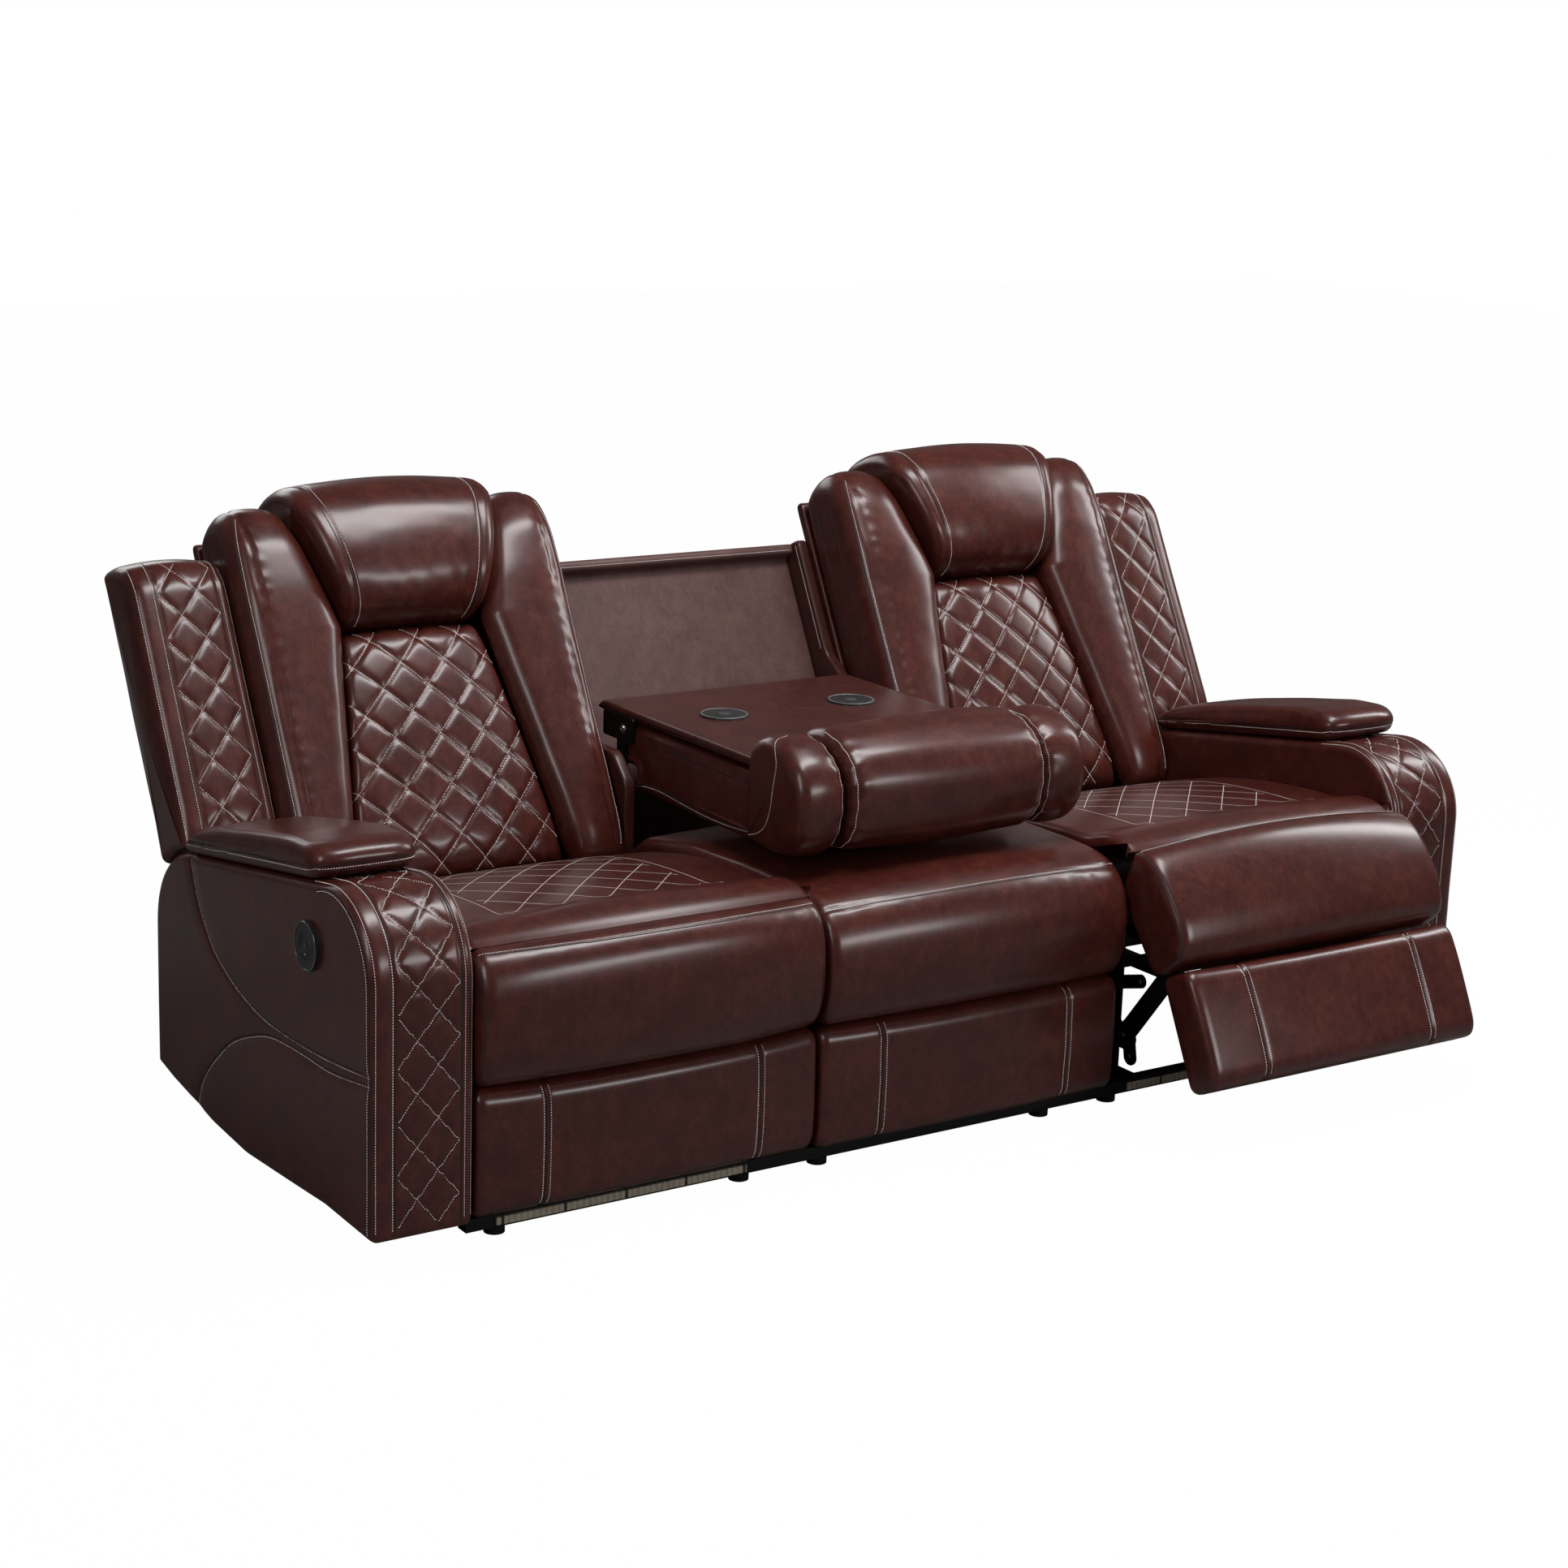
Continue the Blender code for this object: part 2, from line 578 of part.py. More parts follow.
def build_arms(root, leather, steel, plastic):
    outline, slope, top_front = arm_outline()
    rise = Vector((math.cos(math.radians(slope)), math.sin(math.radians(slope))))
    up = Vector((-rise.y, rise.x))
    start = Vector(top_front) + rise * PAD_SETBACK + up * SEAT_GAP
    pad = []
    for along, height, soft in PAD_OUTLINE_SHARES:
        point = start + rise * (along * PAD_LENGTH) + up * (height * PAD_THICKNESS)
        pad.append((point.x, point.y, soft))
    carriers = {}
    for name, side in SIDES.items():
        inner, outer = side * ARM_INNER, side * ARM_OUTER
        low, high = min(inner, outer), max(inner, outer)
        arm = pillow(f"arm_{name}", outline, low, high, leather, roll=ARM_ROLL, stations=FIRM_STATION_SHARES)
        reach = sorted((inner + side * OVERRUN, inner - side * PIVOT_REACH))
        pin = round_bar("pin", PIVOT_PIN_RADIUS, *reach, HINGE_Y, HINGE_Z, steel)
        root.carry(join(arm, pin))
        edges = sorted((inner, outer + side * PAD_OVERHANG))
        root.carry(pillow(f"arm_pad_{name}", pad, *edges, leather, PAD_CROWN, PAD_CROWN,
                          NARROW_STATION_SHARES))
        carriers[name] = build_switch(root, name, side, plastic)
    return carriers


def build_switch(root, name, side, plastic):
    y, z = ARM_FRONT + SWITCH_FROM_FRONT, SWITCH_HEIGHT
    face = side * (ARM_OUTER + SEAT_GAP)
    rim = sorted((face, face + side * BEZEL_DEPTH))
    bezel = round_bar(f"switch_bezel_{name}", BEZEL_RADIUS, *rim, y, z, plastic, ROUND_STEPS)
    well = sorted((face - side * OVERRUN, face + side * (BEZEL_DEPTH + OVERRUN)))
    bore = BUTTON_RADIUS + TUBE_CLEARANCE
    root.carry(cut(bezel, round_bar("well", bore, *well, y, z, plastic, ROUND_STEPS)))
    foot = face + side * BUTTON_STANDOFF
    button = round_bar(f"recline_button_{name}", BUTTON_RADIUS, *sorted((foot, foot + side * BUTTON_DEPTH)),
                       y, z, plastic, ROUND_STEPS)
    carrier = Carrier(f"button_travel_{name}", (foot, y, z), root)
    carrier.carry(button)
    return carrier


# Reclining backs

def lumbar_outline():
    """The lumbar pad from the side; its front has one row for each line of tufts."""
    low, high = (LUMBAR_LOW, PILLOW_REAR), (LUMBAR_HIGH, LUMBAR_FRONT)
    outline = framed(LUMBAR_SIDE_SHARES, low, high)
    for row in range(LUMBAR_ROW_COUNT):
        share = 1 - (row + 0.5) / LUMBAR_ROW_COUNT
        bulge = LUMBAR_BULGE_SHARE * (1 - (2 * share - 1) ** 2)
        outline += framed([(share, 1 - LUMBAR_BULGE_SHARE + bulge, 1)], low, high)
    return outline + framed([(0.0, 0.72, 0)], low, high)


def inner_edge(s):
    """Half the width between a back's bolsters at one height."""
    if s < LUMBAR_HIGH:
        share = (s - LUMBAR_LOW) / (LUMBAR_HIGH - LUMBAR_LOW)
        return LUMBAR_HALF_LOW + share * (LUMBAR_HALF_HIGH - LUMBAR_HALF_LOW)
    share = min(1, (s - LUMBAR_HIGH) / (BOLSTER_HIGH - LUMBAR_HIGH))
    return LUMBAR_HALF_HIGH + share * (HEADREST_HALF_TOP - LUMBAR_HALF_HIGH)


def build_back(root, name, side, leather, steel):
    carrier = Carrier(f"back_hinge_{name}", (0, HINGE_Y, HINGE_Z), root)
    middle = side * SEAT_PITCH
    shell_front = SHELL_REAR + SHELL_THICKNESS
    outline = leaned([(SHELL_LOW, SHELL_REAR, 0), (SHELL_HIGH, SHELL_REAR, 0), (SHELL_HIGH, shell_front, 0),
                      (SHELL_LOW, shell_front, 0)])
    edges = sorted((middle - side * CUSHION_HALF, side * (ARM_INNER - SEAT_GAP)))
    shell = pillow(f"back_shell_{name}", outline, *edges, leather, stations=(-1, 1))
    lugs, holes = [], []
    for edge in (middle - side * CUSHION_HALF, middle + side * CUSHION_HALF):
        facing = 1 if edge < middle else -1
        near = edge + facing * LUG_FROM_SIDE
        reach = sorted((near, near + facing * LUG_THICKNESS))
        top = leaned([(SHELL_LOW + LUG_HALF_WIDTH * 4, (SHELL_REAR + shell_front) / 2, 0)])[0]
        lugs.append(plate("lug", stadium((HINGE_Y, HINGE_Z), top[:2], LUG_HALF_WIDTH), *reach, steel))
        bore = PIVOT_PIN_RADIUS + PIVOT_CLEARANCE
        holes.append(round_bar("bore", bore, reach[0] - OVERRUN, reach[1] + OVERRUN, HINGE_Y, HINGE_Z, steel))
    low, rear = SHELL_LOW - LUG_HALF_WIDTH, SHELL_REAR - HINGE_Z
    trim = leaned([(low, rear, 0), (SHELL_HIGH, rear, 0), (SHELL_HIGH, SHELL_REAR, 0), (low, SHELL_REAR, 0)])
    behind = pillow("behind", trim, edges[0] - OVERRUN, edges[1] + OVERRUN, steel, stations=(-1, 1))
    carrier.carry(cut(join(shell, *lugs), *holes, behind))

    lumbar = lumbar_outline()
    half = [inner_edge(s) - SOFT_CLEARANCE for s, t, soft in lumbar]
    carrier.carry(pillow(f"lumbar_pad_{name}", leaned(lumbar), [middle - width for width in half],
                         [middle + width for width in half], leather, LUMBAR_CROWN, LUMBAR_CROWN,
                         QUILT_STATION_SHARES, (3, 2 + LUMBAR_ROW_COUNT, 2, 10, QUILT_DEPTH)))

    bolster = framed(BOLSTER_OUTLINE_SHARES, (0, PILLOW_REAR), (BOLSTER_HIGH, BOLSTER_FRONT))
    inward = [inner_edge(s) for s, t, soft in bolster]
    for place, facing in (("inner", -side), ("outer", side)):
        near = [middle + facing * width for width in inward]
        far = [middle + facing * CUSHION_HALF] * len(bolster)
        ends = (near, far) if facing > 0 else (far, near)
        carrier.carry(pillow(f"bolster_{name}_{place}", leaned(bolster), *ends, leather, BOLSTER_CROWN,
                             BOLSTER_ROLL, NARROW_STATION_SHARES))

    headrest = [(HEADREST_LOW, PILLOW_REAR, 0), (SHELL_HIGH + SEAT_GAP, PILLOW_REAR, 0)]
    headrest += framed(HEADREST_OUTLINE_SHARES, (HEADREST_LOW, HEADREST_REAR),
                       (HEADREST_HIGH, HEADREST_FRONT))
    half = [inner_edge(s) - SOFT_CLEARANCE for s, t, soft in headrest]
    carrier.carry(pillow(f"headrest_{name}", leaned(headrest), [middle - width for width in half],
                         [middle + width for width in half], leather, HEADREST_CROWN, HEADREST_CROWN))

    wing = []
    for t in (WING_REAR, (WING_REAR + WING_FRONT) / 2, WING_FRONT):
        wing.append((math.sqrt(WING_TAIL_RADIUS ** 2 - t ** 2), t, 0))
    wing.reverse()
    wing += framed(WING_TOP_SHARES, (0, WING_REAR), (WING_HIGH, WING_FRONT))
    edges = sorted((side * ARM_INNER, side * ARM_OUTER))
    carrier.carry(pillow(f"wing_{name}", leaned(wing), *edges, leather, WING_CROWN, WING_CROWN,
                         NARROW_STATION_SHARES))
    return carrier


# Seats and footrests

def footrest_carriers(root, name, side):
    opened = FOOTREST_REST_ANGLES[name]
    share = opened / FOOTREST_FULL_ANGLE
    beyond = opened - FOOTREST_DRAWN_ANGLE
    seat = Carrier(f"seat_glide_{name}", (0, 0, 0), root, slide=(0, -SEAT_GLIDE_TRAVEL * share, 0))
    footrest = Carrier(f"footrest_hinge_{name}", (0, FOOTREST_HINGE_Y, FOOTREST_HINGE_Z), seat, opened=opened)
    flap_z = FOOTREST_BOTTOM - FLAP_GAP / 2
    flap = Carrier(f"flap_hinge_{name}", (0, FLAP_HINGE_Y, flap_z), footrest, opened=FLAP_RATIO * opened)
    crank = Carrier(f"crank_pivot_{name}", (0, CRANK_Y, CRANK_Z), seat, opened=CRANK_RATIO * beyond)
    swing_y, swing_z = FOOTREST_HINGE_Y + SWING_BACK, FOOTREST_HINGE_Z - SWING_DROP
    swing = Carrier(f"swing_pivot_{name}", (0, swing_y, swing_z), footrest, opened=SWING_RATIO * beyond)
    carriage = Carrier(f"carriage_slide_{name}", (side * SEAT_PITCH, MOTOR_TUBE_Y, MOTOR_TUBE_Z), seat,
                       slide=(0, -CARRIAGE_TRAVEL * share, 0))
    return seat, footrest, flap, crank, swing, carriage


def build_seat(carrier, name, side, leather):
    low, high = (FOOTREST_HINGE_Y + SEAT_GAP, SEAT_BOTTOM), (SEAT_REAR, SEAT_TOP)
    outline = framed(SEAT_FRONT_SHARES + SEAT_QUILT_SHARES + SEAT_NOSE_SHARES, low, high)
    first = len(SEAT_FRONT_SHARES)
    last = first + len(SEAT_QUILT_SHARES) - 1
    middle = side * SEAT_PITCH
    carrier.carry(pillow(f"seat_cushion_{name}", outline, middle - CUSHION_HALF, middle + CUSHION_HALF,
                         leather, SEAT_CROWN, SEAT_CROWN, QUILT_STATION_SHARES,
                         (first, last, 3, 9, QUILT_DEPTH)))


def build_pads(footrest, flap, name, side, leather, steel):
    middle = side * SEAT_PITCH
    low, high = middle - CUSHION_HALF, middle + CUSHION_HALF
    outline = framed(FOOTREST_OUTLINE_SHARES, (FOOTREST_FRONT, FOOTREST_BOTTOM),
                     (FOOTREST_BACK, FOOTREST_HINGE_Z - SEAT_GAP))
    pad = pillow(f"footrest_pad_{name}", outline, low, high, leather, FOOTREST_CROWN, FOOTREST_CROWN)
    y, z = FOOTREST_HINGE_Y + SWING_BACK, FOOTREST_HINGE_Z - SWING_DROP
    brackets, bores = [], []
    offset = MECHANISM_HALF_WIDTH - LINK_STEP * 3
    for edge in SIDES.values():
        near = middle + edge * offset - BRACKET_THICKNESS / 2
        far = near + BRACKET_THICKNESS
        brackets.append(plate("bracket", stadium((FOOTREST_BACK - OVERRUN, z), (y, z), BRACKET_HALF_WIDTH),
                              near, far, steel))
        bores.append(round_bar("bore", LINK_TUBE_RADIUS + TUBE_CLEARANCE, near - OVERRUN, far + OVERRUN, y, z,
                               steel))
    footrest.carry(cut(join(pad, *brackets), *bores))
    outline = framed(FLAP_OUTLINE_SHARES, (FLAP_FRONT, FLAP_BOTTOM), (FLAP_BACK, FOOTREST_BOTTOM - FLAP_GAP))
    flap.carry(pillow(f"footrest_flap_{name}", outline, low, high, leather, FLAP_CROWN, FLAP_CROWN))


def elbow():
    """Where the two links meet with the footrest as drawn, and the swing link's own pivot there."""
    hinge = Vector((FOOTREST_HINGE_Y, FOOTREST_HINGE_Z))
    start = Vector((CRANK_Y, CRANK_Z))
    end = hinge + swung((SWING_BACK, -SWING_DROP), FOOTREST_DRAWN_ANGLE)
    span = end - start
    along = (CRANK_LENGTH ** 2 + span.length ** 2 - SWING_LENGTH ** 2) / (2 * span.length)
    aside = math.sqrt(CRANK_LENGTH ** 2 - along ** 2)
    unit = span.normalized()
    return start + unit * along + Vector((-unit.y, unit.x)) * aside, end


def build_links(crank, swing, name, side, steel):
    middle = side * SEAT_PITCH
    pivot = Vector((CRANK_Y, CRANK_Z))
    knee, end = elbow()
    reach = MECHANISM_HALF_WIDTH + PLATE_THICKNESS / 2
    tube = round_bar(f"crank_link_{name}", LINK_TUBE_RADIUS, middle - reach, middle + reach, *pivot, steel)
    bars = []
    for place in (-1, 1):
        near = middle + place * (MECHANISM_HALF_WIDTH - LINK_STEP) - LINK_THICKNESS / 2
        bars.append(plate("bar", stadium(pivot, knee, LINK_HALF_WIDTH), near, near + LINK_THICKNESS, steel))
    back = pivot + swung((0, -CRANK_ARM_LENGTH), CRANK_RATIO * FOOTREST_DRAWN_ANGLE)
    bars.append(plate("arm", stadium(pivot, back, LINK_HALF_WIDTH), middle - CRANK_ARM_THICKNESS / 2,
                      middle + CRANK_ARM_THICKNESS / 2, steel))
    crank.carry(join(tube, *bars))

    hinge = Vector((FOOTREST_HINGE_Y, FOOTREST_HINGE_Z))
    top = hinge + Vector((SWING_BACK, -SWING_DROP))
    heading = swung(knee - end, -FOOTREST_DRAWN_ANGLE).normalized()
    tip = top + heading * (SWING_LENGTH + SWING_TAIL)
    reach = MECHANISM_HALF_WIDTH - LINK_STEP * 2 + LINK_THICKNESS / 2
    tube = round_bar(f"swing_link_{name}", LINK_TUBE_RADIUS, middle - reach, middle + reach, *top, steel)
    bars = []
    for place, length in ((-1, 1), (0, 0), (1, 1)):
        far = tip if length else top + heading * SWING_RIB_LENGTH
        near = middle + place * (MECHANISM_HALF_WIDTH - LINK_STEP * 2) - LINK_THICKNESS / 2
        bars.append(plate("bar", stadium(top, far, LINK_HALF_WIDTH), near, near + LINK_THICKNESS, steel))
    swing.carry(join(tube, *bars))


def build_plates(carrier, name, side, steel):
    """Two steel plates that carry the seat: a bar along the cushion with three legs down to the rails."""
    low, high = RAIL_TOP + PLATE_LIFT, SEAT_BOTTOM - SEAT_GAP
    bar = high - PLATE_BAR_DEPTH
    middle_leg = (PLATE_FRONT + PLATE_REAR) / 2
    outline = [(PLATE_FRONT, low), (PLATE_FRONT + PLATE_LEG_WIDTH, low), (PLATE_FRONT + PLATE_LEG_WIDTH, bar),
               (middle_leg - PLATE_LEG_WIDTH / 2, bar), (middle_leg - PLATE_LEG_WIDTH / 2, low),
               (middle_leg + PLATE_LEG_WIDTH / 2, low), (middle_leg + PLATE_LEG_WIDTH / 2, bar),
               (PLATE_REAR - PLATE_LEG_WIDTH, bar), (PLATE_REAR - PLATE_LEG_WIDTH, low), (PLATE_REAR, low),
               (PLATE_REAR, high), (PLATE_FRONT, high)]
    for edge in SIDES.values():
        place = "outer" if edge == side else "inner"
        x = side * SEAT_PITCH + edge * MECHANISM_HALF_WIDTH
        left, right = x - PLATE_THICKNESS / 2, x + PLATE_THICKNESS / 2
        web = plate(f"seat_plate_{name}_{place}", outline, left, right, steel)
        boss = plate("boss", stadium((CRANK_Y, bar + LINK_HALF_WIDTH), (CRANK_Y, CRANK_Z),
                                     LINK_HALF_WIDTH * 1.5), left, right, steel)
        bore = round_bar("bore", LINK_TUBE_RADIUS + TUBE_CLEARANCE, left - OVERRUN, right + OVERRUN, CRANK_Y,
                         CRANK_Z, steel)
        carrier.carry(cut(join(web, boss), bore))


def build_drive(seat, carriage, name, side, steel, plastic):
    middle = side * SEAT_PITCH
    reach = MECHANISM_HALF_WIDTH - PLATE_THICKNESS / 2 - SEAT_GAP
    tube = round_bar(f"drive_motor_{name}", MOTOR_TUBE_RADIUS, middle - reach, middle + reach, MOTOR_TUBE_Y,
                     MOTOR_TUBE_Z, steel)
    case_front = MOTOR_TUBE_Y - GEARBOX_DEPTH + MOTOR_TUBE_RADIUS
    case = block("case", (middle - GEARBOX_WIDTH / 2, case_front, GEARBOX_LOW),
                 (middle + GEARBOX_WIDTH / 2, case_front + GEARBOX_DEPTH, GEARBOX_HIGH), plastic)
    can = round_bar("can", MOTOR_CAN_RADIUS, middle, middle + GEARBOX_WIDTH / 2 + MOTOR_CAN_LENGTH,
                    case_front + GEARBOX_DEPTH / 2, GEARBOX_LOW + MOTOR_CAN_RADIUS, plastic, ROUND_STEPS)
    rail_low = MOTOR_TUBE_Z - SCREW_TUBE_HALF
    rail = block("rail", (middle - SCREW_TUBE_HALF, case_front - SCREW_TUBE_LENGTH, rail_low),
                 (middle + SCREW_TUBE_HALF, case_front + OVERRUN, MOTOR_TUBE_Z + SCREW_TUBE_HALF), steel)
    seat.carry(join(tube, case, can, rail))
    start = case_front - CARRIAGE_START
    slider = block(f"drive_carriage_{name}",
                   (middle - CARRIAGE_HALF_WIDTH, start - CARRIAGE_LENGTH,
                    MOTOR_TUBE_Z - CARRIAGE_HALF_WIDTH),
                   (middle + CARRIAGE_HALF_WIDTH, start, MOTOR_TUBE_Z + CARRIAGE_HALF_WIDTH), plastic)
    bore = SCREW_TUBE_HALF + TUBE_CLEARANCE
    tunnel = block("tunnel", (middle - bore, start - CARRIAGE_LENGTH - OVERRUN, MOTOR_TUBE_Z - bore),
                   (middle + bore, start + OVERRUN, MOTOR_TUBE_Z + bore), plastic)
    carriage.carry(cut(slider, tunnel))


def build_recliner(root, name, side, leather, steel, plastic):
    build_back(root, name, side, leather, steel)
    seat, footrest, flap, crank, swing, carriage = footrest_carriers(root, name, side)
    build_seat(seat, name, side, leather)
    build_plates(seat, name, side, steel)
    build_pads(footrest, flap, name, side, leather, steel)
    build_links(crank, swing, name, side, steel)
    build_drive(seat, carriage, name, side, steel, plastic)


# Middle seat with its drop-down table

def build_middle(root, leather, steel):
    base = framed(BASE_OUTLINE_SHARES, (BASE_FRONT, RAIL_TOP + SEAT_GAP), (BASE_REAR, BASE_TOP))
    root.carry(pillow("centre_base", base, -CUSHION_HALF, CUSHION_HALF, leather, BASE_CROWN, BASE_CROWN))
    seat = framed(MIDDLE_OUTLINE_SHARES, (MIDDLE_FRONT, BASE_TOP + SEAT_GAP), (SEAT_REAR, MIDDLE_TOP))
    root.carry(pillow("centre_seat", seat, -CUSHION_HALF, CUSHION_HALF, leather, MIDDLE_CROWN, MIDDLE_CROWN))
    (rear_low, rear_high, front_high, front_low) = leaned(
        [(BOARD_LOW, CHEEK_REAR_T, 0), (CHEEK_HIGH, CHEEK_REAR_T, 0), (CHEEK_HIGH, CHEEK_FRONT_T, 0),
         (CHEEK_HIGH * 0.62, CHEEK_FRONT_T, 0)])
    bottom = BASE_TOP + SEAT_GAP
    shelf = TABLE_HINGE_Z + TABLE_PAD_NOTCH
    outline = [(CHEEK_FRONT, bottom, 0), (BASE_REAR, bottom, 0), rear_low, rear_high, front_high, front_low,
               (TABLE_HINGE_Y + TABLE_PAD_NOTCH, shelf, 0), (CHEEK_FRONT + TABLE_PAD_NOTCH, shelf, 0),
               (CHEEK_FRONT, shelf - TABLE_PAD_NOTCH, 0)]
    for name, side in SIDES.items():
        outer = side * CUSHION_HALF
        inner = outer - side * CHEEK_THICKNESS
        cheek = pillow(f"centre_cheek_{name}", outline, *sorted((inner, outer)), leather, stations=(-1, 1))
        reach = sorted((outer - side * OVERRUN, outer + side * PIVOT_REACH))
        pin = round_bar("pin", PIVOT_PIN_RADIUS, *reach, HINGE_Y, HINGE_Z, steel)
        bore = round_bar("bore", TABLE_PIN_RADIUS + PIVOT_CLEARANCE,
                         *sorted((inner - side * OVERRUN, inner + side * (TABLE_PIN_REACH + OVERRUN))),
                         TABLE_HINGE_Y, TABLE_HINGE_Z, steel)
        root.carry(cut(join(cheek, pin), bore))
    half = CUSHION_HALF - CHEEK_THICKNESS - SEAT_GAP
    front = CHEEK_REAR_T + BOARD_THICKNESS
    lip = CHEEK_HIGH - BOARD_LIP_HEIGHT
    board = leaned([(BOARD_LOW, CHEEK_REAR_T, 0), (CHEEK_HIGH, CHEEK_REAR_T, 0), (CHEEK_HIGH, BOARD_LIP_T, 0),
                    (lip, BOARD_LIP_T, 0), (lip, front, 0), (BOARD_LOW, front, 0)])
    root.carry(pillow("rear_board", board, -half, half, leather, stations=(-1, 1)))


def build_table(root, leather, steel, plastic):
    table = Carrier("table_hinge", (0, TABLE_HINGE_Y, TABLE_HINGE_Z), root)
    tray_low = TRAY_TOP - TRAY_THICKNESS
    tray = block("table_tray", (-TRAY_HALF_WIDTH, TRAY_FRONT, tray_low),
                 (TRAY_HALF_WIDTH, TRAY_REAR, TRAY_TOP), leather, TRAY_BEVEL)
    past = TRAY_HALF_WIDTH + OVERRUN
    wedge = plate("wedge", [(TRAY_REAR - TRAY_REAR_RUN, TRAY_TOP), (TRAY_REAR, TRAY_TOP - TRAY_REAR_RISE),
                            (TRAY_REAR + TRAY_REAR_RUN, TRAY_TOP - TRAY_REAR_RISE),
                            (TRAY_REAR + TRAY_REAR_RUN, TRAY_TOP + TRAY_REAR_RISE),
                            (TRAY_REAR - TRAY_REAR_RUN, TRAY_TOP + TRAY_REAR_RISE)], -past, past, leather)
    table.carry(cut(tray, wedge))
    under = tray_low - SEAT_GAP
    low, high = (ROLL_BACK, TABLE_PAD_BOTTOM), (TABLE_PAD_REAR, under)
    notch_top = TABLE_HINGE_Z + LINK_HALF_WIDTH + SOFT_CLEARANCE
    notch_front = TABLE_HINGE_Y - TABLE_PAD_NOTCH
    outline = [(low[0], low[1], 0)] + framed(TABLE_PAD_SHARES, low, (notch_front, high[1]))
    outline += [(notch_front, low[1], 0), (notch_front, notch_top, 0), (high[0], notch_top, 0),
                (high[0], under, 0), (low[0], under, 0)]
    pad_half = TRAY_HALF_WIDTH - SOFT_CLEARANCE
    table.carry(pillow("table_cushion", outline, -pad_half, pad_half, leather, TABLE_PAD_CROWN,
                       TABLE_PAD_CROWN))
    roll = framed(ROLL_OUTLINE_SHARES, (ROLL_FRONT, ROLL_BOTTOM), (ROLL_BACK - SEAT_GAP, ROLL_TOP))
    table.carry(pillow("table_roll", roll, -ROLL_HALF_WIDTH, ROLL_HALF_WIDTH, leather, ROLL_CROWN,
                       ROLL_CROWN))
    end = framed(ROLL_OUTLINE_SHARES, (ROLL_END_FRONT, ROLL_BOTTOM), (ROLL_BACK - SEAT_GAP, ROLL_END_TOP))
    for name, side in SIDES.items():
        near = side * (ROLL_HALF_WIDTH + SEAT_GAP)
        reach = sorted((near, near + side * ROLL_END_WIDTH))
        table.carry(pillow(f"table_roll_end_{name}", end, *reach, leather, ROLL_CROWN, ROLL_CROWN * 2,
                           NARROW_STATION_SHARES))
        table.carry(disc(f"charger_{name}", CHARGER_RADIUS, side * CHARGER_SPREAD / 2, CHARGER_Y,
                         TRAY_TOP + SEAT_GAP, TRAY_TOP + SEAT_GAP + CHARGER_THICKNESS, plastic,
                         CHARGER_THICKNESS / 4))
        build_table_hinge(table, name, side, steel)


def build_table_hinge(table, name, side, steel):
    near = side * (TRAY_HALF_WIDTH + SEAT_GAP)
    outer = near + side * TABLE_PLATE_THICKNESS
    reach = sorted((near, outer))
    high = TRAY_TOP - TRAY_THICKNESS / 2
    low = high - TABLE_PLATE_HEIGHT
    bolt_z = (low + high) / 2
    bracket = plate(f"table_bracket_{name}", rounded((TABLE_PLATE_FRONT, low), (TABLE_PLATE_REAR, high),
                                                     TABLE_PLATE_CORNER), *reach, steel)
    arm = plate("arm", stadium((TABLE_HINGE_Y, TABLE_HINGE_Z), (TABLE_HINGE_Y, bolt_z), TABLE_ARM_HALF_WIDTH),
                *reach, steel)
    shaft = side * (CUSHION_HALF - CHEEK_THICKNESS + TABLE_PIN_REACH)
    pin = round_bar("pin", TABLE_PIN_RADIUS, *sorted((near + side * OVERRUN, shaft)), TABLE_HINGE_Y,
                    TABLE_HINGE_Z, steel)
    bolt = round_bar("bolt", TABLE_BOLT_RADIUS,
                     *sorted((near + side * OVERRUN, outer + side * TABLE_BOLT_HEIGHT)),
                     TABLE_BOLT_Y, bolt_z, steel)
    table.carry(join(bracket, arm, pin, bolt))


def build():
    clear_scene()
    leather = paint("oxblood_leather", (0.085, 0.016, 0.013), 0.34)
    steel = paint("black_steel", (0.012, 0.012, 0.013), 0.42, 0.8)
    plastic = paint("black_plastic", (0.018, 0.018, 0.02), 0.45)
    light = paint("light_strip", (0.42, 0.38, 0.30), 0.35)
    root = Carrier("layout", slide=(0, FOOTPRINT_SHIFT, -FLOOR_LEVEL))
    build_rails(root, steel, plastic)
    build_lights(root, light)
    build_skirt(root, leather)
    build_arms(root, leather, steel, plastic)
    for name, side in SIDES.items():
        build_recliner(root, name, side, leather, steel, plastic)
    build_middle(root, leather, steel)
    build_table(root, leather, steel, plastic)
    bpy.context.view_layer.update()


build()
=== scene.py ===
"""The dressed power reclining sofa: quilted oxblood leather, pale stitching, black steel and a table.

Lengths are in metres. Soft pieces are drawn around the middle of one seat, with its footrest shut, and then
carried to their seat and its rest pose. Outlines are side views, as points of (y, z, softness) in the
drawing's own frame, or of (s, t, softness) up and across the leaning backs. Softness says how much of a
form's crown a point takes, and -1 keeps a corner sharp.
"""
import math

import bmesh
import bpy
import numpy as np
from mathutils import Matrix, Vector
from mathutils.bvhtree import BVHTree


